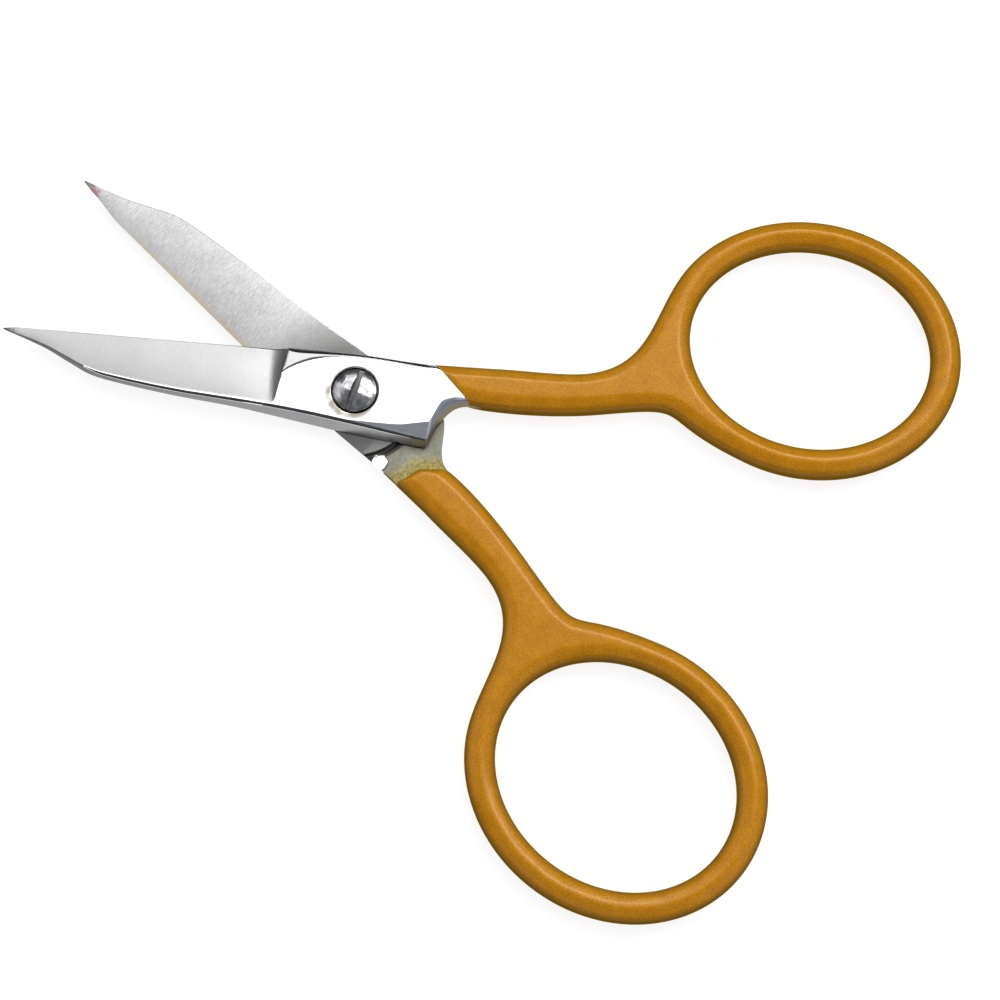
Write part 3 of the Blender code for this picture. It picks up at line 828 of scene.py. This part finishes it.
def screw():
    """Slotted screw with a domed head, its end filed flush with the rear half."""
    head_top = HEAD_RIM_Z + HEAD_DOME
    sphere = (HEAD_RADIUS ** 2 + HEAD_DOME ** 2) / (2 * HEAD_DOME)
    profile = [(0.0, head_top)]
    steps = 18
    for k in range(1, steps + 1):
        r = (HEAD_RADIUS - RIM_EASE) * k / steps
        profile.append((r, head_top - (sphere - math.sqrt(sphere ** 2 - r ** 2))))
    rim_z = profile[-1][1]
    steps = 5
    for k, (sine, cosine) in enumerate(quarter(steps, 1), 1):
        drop = RIM_EASE * (1 - cosine) + 0.05 * k / steps
        profile.append((HEAD_RADIUS - RIM_EASE * (1 - sine), rim_z - drop))
    end_z = END_GAP - PARTING_Z
    wide, high = END_ROUND
    profile += [(HEAD_RADIUS, HEAD_SEAT_Z), (SHANK_RADIUS, HEAD_SEAT_Z), (SHANK_RADIUS, end_z + high)]
    for sine, cosine in quarter(4, 1):
        profile.append((SHANK_RADIUS - wide * (1 - cosine), end_z + high * (1 - sine)))
    profile.append((0.0, end_z))
    item = turned("pivot_screw_turned", profile)
    subtract(item, slot_cutter())
    return item


def slot_cutter():
    """Screwdriver slot with eased lips and a floor that is a little worn."""
    floor = HEAD_RIM_Z + HEAD_DOME - SLOT_DEPTH
    half = SLOT_WIDTH / 2
    right = [(half + out, floor + up) for out, up in SLOT_SECTION]
    section = [(-right[0][0], floor), *right, *[(-y, z) for y, z in right[:0:-1]]]
    cutter = capped([[(x, y, z) for y, z in section] for x in (-SLOT_REACH, SLOT_REACH)])
    cutter.data.transform(Matrix.Rotation(math.radians(SLOT_ANGLE_DEG), 4, "Z"))
    return cutter


# -------- materials

class Finish:
    """A procedural material; its positions are in millimetres in the closed half's frame."""

    def __init__(self, name, colour, metallic, roughness):
        self.material = bpy.data.materials.new(name)
        self.material.use_nodes = True
        self.tree = self.material.node_tree
        self.shader = self.tree.nodes["Principled BSDF"]
        self.place = self.node("ShaderNodeAttribute", {}, "Vector", attribute_name=PLACE)
        self.x = self.node("ShaderNodeSeparateXYZ", {0: self.place}, "X")
        self.z = self.node("ShaderNodeSeparateXYZ", {0: self.place}, "Z")
        self.normal = None
        self.feed(colour, roughness, metallic)

    def node(self, kind, inputs, output=0, **settings):
        """Add a node, feed its inputs by number or name, and give one of its outputs."""
        node = self.tree.nodes.new(kind)
        for key, value in settings.items():
            setattr(node, key, value)
        for socket, source in inputs.items():
            self.join(source, node.inputs[socket])
        return node.outputs[output]

    def join(self, source, target):
        if isinstance(source, (int, float)):
            target.default_value = source
        elif isinstance(source, tuple):
            target.default_value = (*source, 1.0) if len(target.default_value) == 4 else source
        else:
            self.tree.links.new(source, target)

    def vector(self, operation, a, b=(0.0, 0.0, 0.0), output=0):
        return self.node("ShaderNodeVectorMath", {0: a, 1: b}, output, operation=operation)

    def clouds(self, scale, detail=3.0, rough=0.5, stretch=(1.0, 1.0, 1.0)):
        """Noise, squeezed by a different amount along each axis."""
        place = self.vector("MULTIPLY", self.place, stretch)
        inputs = {"Vector": place, "Scale": scale, "Detail": detail, "Roughness": rough}
        return self.node("ShaderNodeTexNoise", inputs, "Fac")

    def math(self, operation, a, b=0.0):
        return self.node("ShaderNodeMath", {0: a, 1: b}, operation=operation)

    def times(self, a, b):
        return self.math("MULTIPLY", a, b)

    def plus(self, a, b):
        return self.math("ADD", a, b)

    def minus(self, a, b):
        return self.math("SUBTRACT", a, b)

    def remap(self, value, from_low, from_high, to_low=0.0, to_high=1.0, smooth=True):
        inputs = {"Value": value, "From Min": from_low, "From Max": from_high}
        inputs.update({"To Min": to_low, "To Max": to_high})
        curve = "SMOOTHSTEP" if smooth else "LINEAR"
        return self.node("ShaderNodeMapRange", inputs, "Result", interpolation_type=curve)

    def distance(self, x=0.0, y=0.0):
        """Distance from the upright line through a point; from the pivot's axis if none is given."""
        away = self.vector("SUBTRACT", self.place, (x, y, 0.0))
        flat = self.vector("MULTIPLY", away, (1.0, 1.0, 0.0))
        return self.vector("LENGTH", flat, output="Value")

    def beyond(self, normal, distance):
        """Signed distance beyond a plane."""
        return self.minus(self.vector("DOT_PRODUCT", self.place, tuple(normal), "Value"), distance)

    def blend(self, amount, first, second):
        return self.node("ShaderNodeMix", {0: amount, 6: first, 7: second}, 2, data_type="RGBA")

    def mix(self, amount, first, second):
        return self.node("ShaderNodeMix", {0: amount, 2: first, 3: second}, data_type="FLOAT")

    def shade(self, value, low, high, dark, pale):
        """Colour that goes from dark to pale as a value goes from low to high."""
        return self.blend(self.remap(value, low, high), dark, pale)

    def relief(self, height, depth_mm):
        """Surface relief of the given depth in millimetres, on top of any that is there already."""
        inputs = {"Strength": 1.0, "Distance": depth_mm * MM, "Height": height}
        if self.normal is not None:
            inputs["Normal"] = self.normal
        self.normal = self.node("ShaderNodeBump", inputs, "Normal")

    def feed(self, colour=None, roughness=None, metallic=None):
        """Give the shader what is known of its inputs."""
        wanted = {"Base Color": colour, "Roughness": roughness, "Metallic": metallic, "Normal": self.normal}
        for socket, source in wanted.items():
            if source is not None:
                self.join(source, self.shader.inputs[socket])
        return self.material


def grey(tone):
    return (tone, tone, tone)


COAT_COLOUR = (0.56, 0.228, 0.020)
TINT_COLOUR = (0.085, 0.055, 0.045)
PURPLE_TINT = (0.20, 0.085, 0.11)


def tip_tint(finish, colour):
    """Heat tint left by grinding at the very tip."""
    place = finish.plus(finish.x, finish.times(finish.clouds(1.6, 3.0), 1.6))
    amount = finish.remap(place, TIP_X + 2.5, TIP_X + 1.1, 0.0, 0.9)
    return finish.blend(amount, colour, TINT_COLOUR)


def mirror_steel(name, shine):
    """Polished steel, with a beige-grey halo of painted shade around the screw's seat."""
    full = grey(shine)
    finish = Finish(name, full, 1.0, 0.08)
    haze = finish.clouds(0.5, 3.0)
    scratch = finish.clouds(3.0, 4.0, 0.7, (0.25, 3.0, 1.0))
    # Painted shade: a beige-grey halo darkens the polish around the screw's seat.
    seat_halo_shade = finish.remap(finish.distance(-0.24, -0.36), SEAT_RADIUS, SEAT_RADIUS + 0.95, 1.0, 0.0)
    seat_halo_shade = finish.times(seat_halo_shade, finish.remap(haze, 0.35, 0.6, 0.6, 1.0))
    colour = finish.blend(seat_halo_shade, full, (0.18, 0.165, 0.14))
    finish.relief(scratch, 0.0005)
    finish.relief(haze, 0.006)
    return finish.feed(tip_tint(finish, colour), finish.remap(scratch, 0.3, 0.75, 0.10, 0.15))


def edge_steel():
    """Buffed chamfers, bevels and land."""
    finish = Finish("polished_edges", (0.72, 0.72, 0.73), 1.0, 0.08)
    scratch = finish.clouds(2.0, 4.0, 0.6, (0.3, 3.0, 3.0))
    colour = finish.shade(scratch, 0.3, 0.7, (0.64, 0.64, 0.65), (0.78, 0.78, 0.79))
    finish.relief(scratch, 0.0006)
    return finish.feed(tip_tint(finish, colour), finish.remap(scratch, 0.3, 0.7, 0.05, 0.11))


def satin_steel():
    """Hollow grind, brushed across the blade."""
    finish = Finish("satin_grind", (0.62, 0.62, 0.63), 1.0, 0.34)
    grain = finish.clouds(4.0, 4.0, 0.65, (2.6, 0.35, 1.0))
    cloud = finish.clouds(0.22, 2.0)
    tone = finish.plus(finish.times(grain, 0.7), finish.times(cloud, 0.3))
    colour = finish.shade(tone, 0.35, 0.65, (0.258, 0.256, 0.254), (0.305, 0.303, 0.301))
    finish.relief(grain, 0.0022)
    return finish.feed(tip_tint(finish, colour), finish.remap(grain, 0.3, 0.7, 0.30, 0.40))


def flank_steel():
    """Drafted side walls; overspray and glue-brown stain reach their foot near the neck. Paler towards the
    neck as painted light, and bluish on the upper neck facets as painted reflection.
    """
    finish = Finish("ground_flank", (0.27, 0.275, 0.28), 1.0, 0.26)
    grain = finish.clouds(1.2, 4.0, 0.6, (0.3, 1.5, 3.0))
    colour = finish.shade(grain, 0.3, 0.7, (0.26, 0.262, 0.265), (0.30, 0.302, 0.305))
    # Painted light: the wall is made paler towards the neck to lift its dark reflection.
    painted_light_toward_neck = finish.remap(finish.x, -2.0, 4.0)
    colour = finish.blend(painted_light_toward_neck, colour, grey(0.48))
    toward_tip = finish.remap(finish.x, -7.0, -29.0, smooth=False)
    colour = finish.blend(toward_tip, colour, (0.10, 0.10, 0.105))
    low = finish.remap(finish.z, 0.9, 0.15)
    stain = finish.times(low, finish.remap(finish.x, 4.0, 8.0))
    stain = finish.times(stain, finish.remap(finish.clouds(1.2, 4.0, 0.6), 0.35, 0.6))
    colour = finish.blend(finish.times(stain, 0.75), colour, (0.36, 0.27, 0.13))
    # Painted reflection: the upper neck facets are tinted bluish for the cool room they reflect;
    # olive-brown lower down.
    neck_wall_tint = finish.shade(finish.z, 1.15, 1.45, (0.20, 0.17, 0.11), (0.17, 0.18, 0.21))
    colour = tip_tint(finish, finish.shade(finish.x, 8.3, 8.8, colour, neck_wall_tint))
    finish.relief(grain, 0.0012)
    rough = finish.mix(painted_light_toward_neck, finish.remap(grain, 0.3, 0.7, 0.24, 0.30), 0.40)
    return finish.feed(colour, rough)


def fillet_steel():
    """Concave end of the grind, painted darker towards the boss as shade in the concave."""
    finish = Finish("grind_fillet", (0.36, 0.36, 0.365), 1.0, 0.34)
    grain = finish.clouds(4.0, 4.0, 0.65, (2.6, 0.35, 1.0))
    colour = finish.shade(grain, 0.3, 0.7, grey(0.27), grey(0.33))
    # Painted shade: the fillet darkens towards the boss, as shade in the concave.
    colour = finish.shade(finish.x, GRIND_END_X - 1.2, GRIND_END_X - 0.1, colour, grey(0.25))
    finish.relief(grain, 0.0016)
    return finish.feed(colour, 0.40)


def groove_shade(finish, colour):
    """Dark bottom of the round groove where the ride face ends."""
    middle = RELIEF_INNER_RADIUS + GROOVE_OFFSET + 0.15
    off = finish.math("ABSOLUTE", finish.minus(finish.distance(), middle))
    dark = finish.remap(off, GROOVE_RADIUS + 0.28, GROOVE_RADIUS)
    dark = finish.times(dark, finish.remap(finish.x, 1.0, 1.5))
    return finish.blend(dark, colour, (0.035, 0.033, 0.030))


def face_steel(name, edge_shift):
    """Inner ride face: ground across the blade, with short fine scratches, darker towards the pivot from
    wear and from painted shadow of the other half.
    """
    finish = Finish(name, grey(0.4), 1.0, 0.34)
    fine = finish.clouds(8.0, 4.0, 0.72, (2.6, 0.20, 1.0))
    broad = finish.clouds(1.8, 3.0, 0.6, (2.0, 0.30, 1.0))
    cloud = finish.clouds(0.35, 2.0)
    tone = finish.plus(finish.times(fine, 0.76), finish.times(broad, 0.12))
    tone = finish.plus(tone, finish.times(cloud, 0.12))
    colour = finish.shade(tone, 0.36, 0.64, (0.226, 0.223, 0.222), (0.388, 0.382, 0.380))
    # Darker towards the pivot: partly wear, partly painted shadow of the other half that overhangs it.
    pivot_wear_and_shadow = finish.remap(finish.distance(), 11.5, 5.4, smooth=False)
    colour = finish.blend(pivot_wear_and_shadow, colour, (0.105, 0.105, 0.10))
    across = Vector((EDGE_START_Y - HEEL_Y, HEEL_X - EDGE_START_X, 0.0)).normalized()
    start = flat((EDGE_START_X, EDGE_START_Y), edge_shift)
    near = finish.remap(finish.beyond(across, start.dot(across)), -0.68, -0.12)
    near = finish.times(near, finish.remap(finish.x, -33.0, -27.0))
    near = finish.times(near, finish.remap(finish.clouds(0.9, 3.0), 0.35, 0.6, 0.35, 1.0))
    colour = finish.blend(finish.times(near, 0.8), colour, (0.37, 0.29, 0.175))
    ragged = finish.times(finish.clouds(1.8, 3.0), 1.2)
    patch = finish.plus(finish.distance(TIP_X + 1.6, 0.65), ragged)
    colour = finish.blend(finish.remap(patch, 1.75, 1.1, 0.0, 0.85), colour, PURPLE_TINT)
    colour = groove_shade(finish, tip_tint(finish, colour))
    finish.relief(tone, 0.0055)
    return finish.feed(colour, finish.remap(fine, 0.3, 0.7, 0.30, 0.40))


def spray_tone(finish, steel, reach):
    """Steel colour under coat overspray that thickens with reach; also gives how much there is."""
    speck = finish.clouds(5.0, 5.0, 0.75)
    amount = finish.remap(finish.plus(speck, reach), 0.52, 0.82)
    hue = finish.clouds(3.6, 4.0, 0.7)
    spray = finish.shade(hue, 0.38, 0.62, (0.135, 0.110, 0.012), (0.36, 0.27, 0.04))
    return finish.blend(amount, steel, spray), amount


def coat_distance(finish):
    """How far a place is outside the coat that covers the neck behind slant and relief."""
    slant = finish.times(finish.beyond(coat_line_normal(), COAT_LINE_DISTANCE), -1.0)
    ring = finish.minus(RELIEF_OUTER_RADIUS, finish.distance())
    return finish.math("MAXIMUM", slant, ring)


def neck_steel():
    """Matte neck, speckled with coat overspray towards the handle, with one buffed spot that is a painted
    highlight.
    """
    finish = Finish("sprayed_neck", (0.24, 0.24, 0.22), 1.0, 0.45)
    grain = finish.clouds(3.2, 4.0, 0.65)
    colour = finish.shade(grain, 0.3, 0.7, (0.135, 0.135, 0.107), (0.185, 0.185, 0.150))
    reach = finish.remap(coat_distance(finish), 2.3, 0.0, -0.05, 0.46, smooth=False)
    colour, amount = spray_tone(finish, colour, reach)
    away = finish.distance(6.70, 4.10)
    away = finish.plus(away, finish.times(finish.clouds(1.6, 4.0, 0.65), 0.7))
    colour = groove_shade(finish, colour)
    # Painted highlight: a bright polished spot, ringed dark, stands in for a blown highlight on the neck.
    colour = finish.blend(finish.remap(away, 1.45, 1.25, 0.0, 0.8), colour, (0.07, 0.07, 0.06))
    buffed = finish.remap(away, 1.22, 1.10)
    colour = finish.blend(buffed, colour, grey(0.85))
    metal = finish.math("MAXIMUM", finish.minus(1.0, finish.times(amount, 0.9)), buffed)
    finish.relief(finish.times(grain, finish.minus(1.0, buffed)), 0.010)
    rough = finish.mix(buffed, finish.mix(amount, 0.42, 0.5), 0.12)
    return finish.feed(colour, rough, metal)


def sprayed_coat(name, rear):
    """Mustard paint with a fine orange-peel skin, thin and chipped where it starts, and painted shade on
    the sides that turn away from the view.
    """
    finish = Finish(name, COAT_COLOUR, 0.0, 0.36)
    fine = finish.clouds(7.0, 4.0, 0.7)
    patch = finish.clouds(0.55, 3.0, 0.5)
    tone = finish.plus(finish.times(fine, 0.78), finish.times(patch, 0.22))
    colour = finish.shade(tone, 0.41, 0.59, (0.325, 0.124, 0.001), (0.435, 0.178, 0.003))
    # Painted shade: the coat darkens where its surface turns away from the view, on its rounded sides.
    facing = finish.node("ShaderNodeLayerWeight", {"Blend": 0.5}, "Facing")
    painted_side_shade = finish.remap(facing, 0.05, 0.60)
    colour = finish.blend(finish.times(painted_side_shade, 0.72), colour, (0.13, 0.078, 0.003))
    edge = finish.beyond(coat_line_normal(), COAT_LINE_DISTANCE)
    if rear:
        ring = finish.minus(finish.distance(), RELIEF_OUTER_RADIUS)
        outside = finish.remap(finish.z, NECK_FLOOR_Z, NECK_FLOOR_Z + 0.3, 0.0, 5.0)
        edge = finish.math("MINIMUM", edge, finish.plus(ring, outside))
    margin = finish.minus(edge, finish.times(finish.clouds(2.4, 4.0, 0.65), 0.9))
    colour = finish.blend(finish.remap(margin, -0.05, -0.36, 0.0, 0.85), colour, (0.22, 0.14, 0.012))
    chip = finish.remap(margin, -0.46, -0.40, 1.0, 0.0)
    bare, amount = spray_tone(finish, (0.22, 0.22, 0.19), 0.16)
    colour = finish.blend(chip, colour, bare)
    finish.relief(fine, 0.007)
    finish.relief(patch, 0.045)
    shine = finish.remap(painted_side_shade, 0.0, 1.0, 0.34, 0.0)
    finish.join(shine, finish.shader.inputs["Specular IOR Level"])
    finish.shader.inputs["Specular Tint"].default_value = (1.0, 0.82, 0.50, 1.0)
    rough = finish.remap(fine, 0.3, 0.7, 0.21, 0.31)
    metal = finish.times(chip, finish.minus(1.0, amount))
    return finish.feed(colour, rough, metal)


def seat_steel():
    """Bore and seat under the screw head, near-black as painted shade in the gap, with a blotchy tone."""
    finish = Finish("seat_gap_shade", (0.06, 0.055, 0.05), 1.0, 0.4)
    gap_shade_mottle = finish.clouds(2.5, 3.0)
    # Painted shade: the seat and bore are near-black for the shaded gap under the screw head.
    colour = finish.blend(gap_shade_mottle, (0.03, 0.028, 0.026), (0.12, 0.11, 0.10))
    return finish.feed(colour, finish.remap(gap_shade_mottle, 0.3, 0.7, 0.3, 0.5))


def screw_steel():
    """Worn polished head: blotchy, with a rough grey slot."""
    finish = Finish("worn_screw_steel", (0.5, 0.5, 0.52), 1.0, 0.12)
    blot = finish.clouds(1.1, 3.0, 0.55)
    fine = finish.clouds(3.6, 4.0, 0.6)
    colour = finish.shade(blot, 0.36, 0.64, (0.26, 0.26, 0.265), (0.55, 0.55, 0.56))
    rim = finish.remap(finish.distance(), HEAD_RADIUS - 0.75, HEAD_RADIUS)
    colour = finish.blend(finish.times(rim, 0.65), colour, grey(0.13))
    side = finish.math("ABSOLUTE", finish.beyond(polar(1.0, SLOT_ANGLE_DEG + 90.0), 0.0))
    slot = finish.remap(side, SLOT_WIDTH / 2 + 0.02, SLOT_WIDTH / 2 - 0.02)
    colour = finish.blend(slot, colour, finish.blend(fine, (0.03, 0.03, 0.028), (0.15, 0.15, 0.143)))
    finish.relief(blot, 0.035)
    finish.relief(fine, 0.006)
    rough = finish.mix(slot, finish.remap(blot, 0.35, 0.65, 0.18, 0.09), 0.5)
    return finish.feed(colour, rough)


# -------- pieces

def build_pieces():
    """Make every piece, put it in place, hang it on its body's empty and hide the CAD node it stands for.
    """
    mirror = mirror_steel("mirror_polish", 0.80)
    # The facet finish is the same polished steel with a darker base: painted shade on the boss's outer band
    # and chamfers.
    facet = mirror_steel("buffed_facet_painted_shade", 0.34)
    satin = satin_steel()
    flank = flank_steel()
    fillet = fillet_steel()
    front_face = face_steel("front_ride_face", FRONT_TRIM["edge"])
    rear_face = face_steel("rear_ride_face", REAR_TRIM["edge"])
    neck = neck_steel()
    seat = seat_steel()
    edge = edge_steel()

    front = steel_half("front_blade_steel", FRONT_TRIM, head_seat())
    set_materials(front, [mirror, satin, flank, front_face, neck, fillet, seat, edge, facet])
    rear = steel_half("rear_blade_steel", REAR_TRIM, rear_bore())
    set_materials(rear, [mirror, satin, flank, rear_face, neck, fillet, seat, edge, facet])
    front_coat = handle_coat("front_handle_skin", FRONT_TRIM, FRONT_COAT_CORNER)
    set_materials(front_coat, [sprayed_coat("mustard_spray_front", False)])
    rear_coat = handle_coat("rear_handle_skin", REAR_TRIM, 0.0)
    set_materials(rear_coat, [sprayed_coat("mustard_spray_rear", True)])
    pin = screw()
    set_materials(pin, [screw_steel()])

    for item in (front, front_coat):
        put_in_place(item, False, HALF_OPENING_DEG)
    for item in (rear, rear_coat):
        put_in_place(item, True, -HALF_OPENING_DEG)
    put_in_place(pin, False, -HALF_OPENING_DEG)
    for item, angle_deg in ((front, STEEL_CREASE_DEG), (rear, STEEL_CREASE_DEG), (pin, SCREW_CREASE_DEG)):
        item.data.shade_smooth()
        item.data.set_sharp_from_angle(angle=math.radians(angle_deg))

    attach(front, "front")
    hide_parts("front_half")
    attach(rear, "rear")
    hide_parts("rear_half")
    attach(front_coat, "front")
    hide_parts("front_handle_coat")
    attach(rear_coat, "rear")
    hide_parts("rear_handle_coat")
    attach(pin, "rear")
    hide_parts("pivot_screw")


# -------- studio

def softbox(name, bearing_deg, from_vertical_deg, reach, width, height, glow, colour=(1.0, 1.0, 1.0)):
    """An area light of the given radiance that looks at the object; bearing 90 is behind it."""
    lamp = bpy.data.lights.new(name, "AREA")
    lamp.shape = "RECTANGLE"
    lamp.size = width
    lamp.size_y = height
    lamp.energy = glow * math.pi * width * height
    lamp.color = colour
    item = in_scene(name, lamp)
    lean = math.radians(from_vertical_deg)
    item.location = polar(reach * math.sin(lean), bearing_deg, reach * math.cos(lean))
    item.rotation_euler = (-item.location).to_track_quat("-Z", "Y").to_euler()


def studio_world():
    """Dim cool room: dark near the horizon, a little lighter overhead."""
    world = bpy.data.worlds.new("studio")
    world.use_nodes = True
    tree = world.node_tree
    coordinates = tree.nodes.new("ShaderNodeTexCoord")
    split = tree.nodes.new("ShaderNodeSeparateXYZ")
    ramp = tree.nodes.new("ShaderNodeValToRGB")
    tree.links.new(coordinates.outputs["Generated"], split.inputs[0])
    tree.links.new(split.outputs["Z"], ramp.inputs["Fac"])
    tree.links.new(ramp.outputs["Color"], tree.nodes["Background"].inputs["Color"])
    tones = ((0.10, (0.030, 0.031, 0.034, 1.0)), (0.75, (0.30, 0.31, 0.345, 1.0)))
    for stop, (height, tone) in zip(ramp.color_ramp.elements, tones):
        stop.position = height
        stop.color = tone
    bpy.context.scene.world = world


def studio_floor():
    """Plain pale floor under the object."""
    mesh = bmesh.new()
    bmesh.ops.create_grid(mesh, x_segments=4, y_segments=4, size=FLOOR_REACH)
    floor = as_object(mesh, "studio_floor")
    floor.location.z = -FLOOR_DROP
    finish = Finish("pale_floor", grey(0.22), 0.0, 0.9)
    finish.shader.inputs["Emission Color"].default_value = (1.0, 1.0, 1.0, 1.0)
    finish.shader.inputs["Emission Strength"].default_value = 0.84
    floor.data.materials.append(finish.feed())


def studio_camera():
    data = bpy.data.cameras.new("camera")
    data.lens = CAMERA_LENS
    data.sensor_width = CAMERA_SENSOR
    data.clip_start = 0.01
    data.clip_end = 10.0
    camera = in_scene("camera", data)
    elevation = math.radians(CAMERA_ELEVATION_DEG)
    back = polar(math.cos(elevation), CAMERA_AZIMUTH_DEG - 90.0, math.sin(elevation))
    right = polar(1.0, CAMERA_AZIMUTH_DEG)
    turn = Matrix((right, back.cross(right), back)).transposed().to_4x4()
    camera.matrix_world = Matrix.Translation(Vector(CAMERA_TARGET) + back * CAMERA_DISTANCE) @ turn
    bpy.context.scene.camera = camera


def studio_lights():
    softbox("key_softbox", 95.0, 31.0, 0.55, 0.85, 0.44, 2.3)
    softbox("strip_light", 80.0, 40.0, 0.50, 0.50, 0.045, 20.0, (1.0, 0.99, 0.97))
    softbox("left_panel", 190.0, 55.0, 0.60, 0.50, 0.40, 0.9)
    softbox("right_panel", -10.0, 55.0, 0.60, 0.50, 0.40, 0.9)
    softbox("front_fill", -90.0, 58.0, 0.70, 0.60, 0.30, 0.8, (0.97, 0.98, 1.0))


build_pieces()
studio_world()
studio_floor()
studio_camera()
studio_lights()
view = bpy.context.scene.view_settings
view.view_transform = "Standard"
view.look = "None"
view.exposure = 0.0
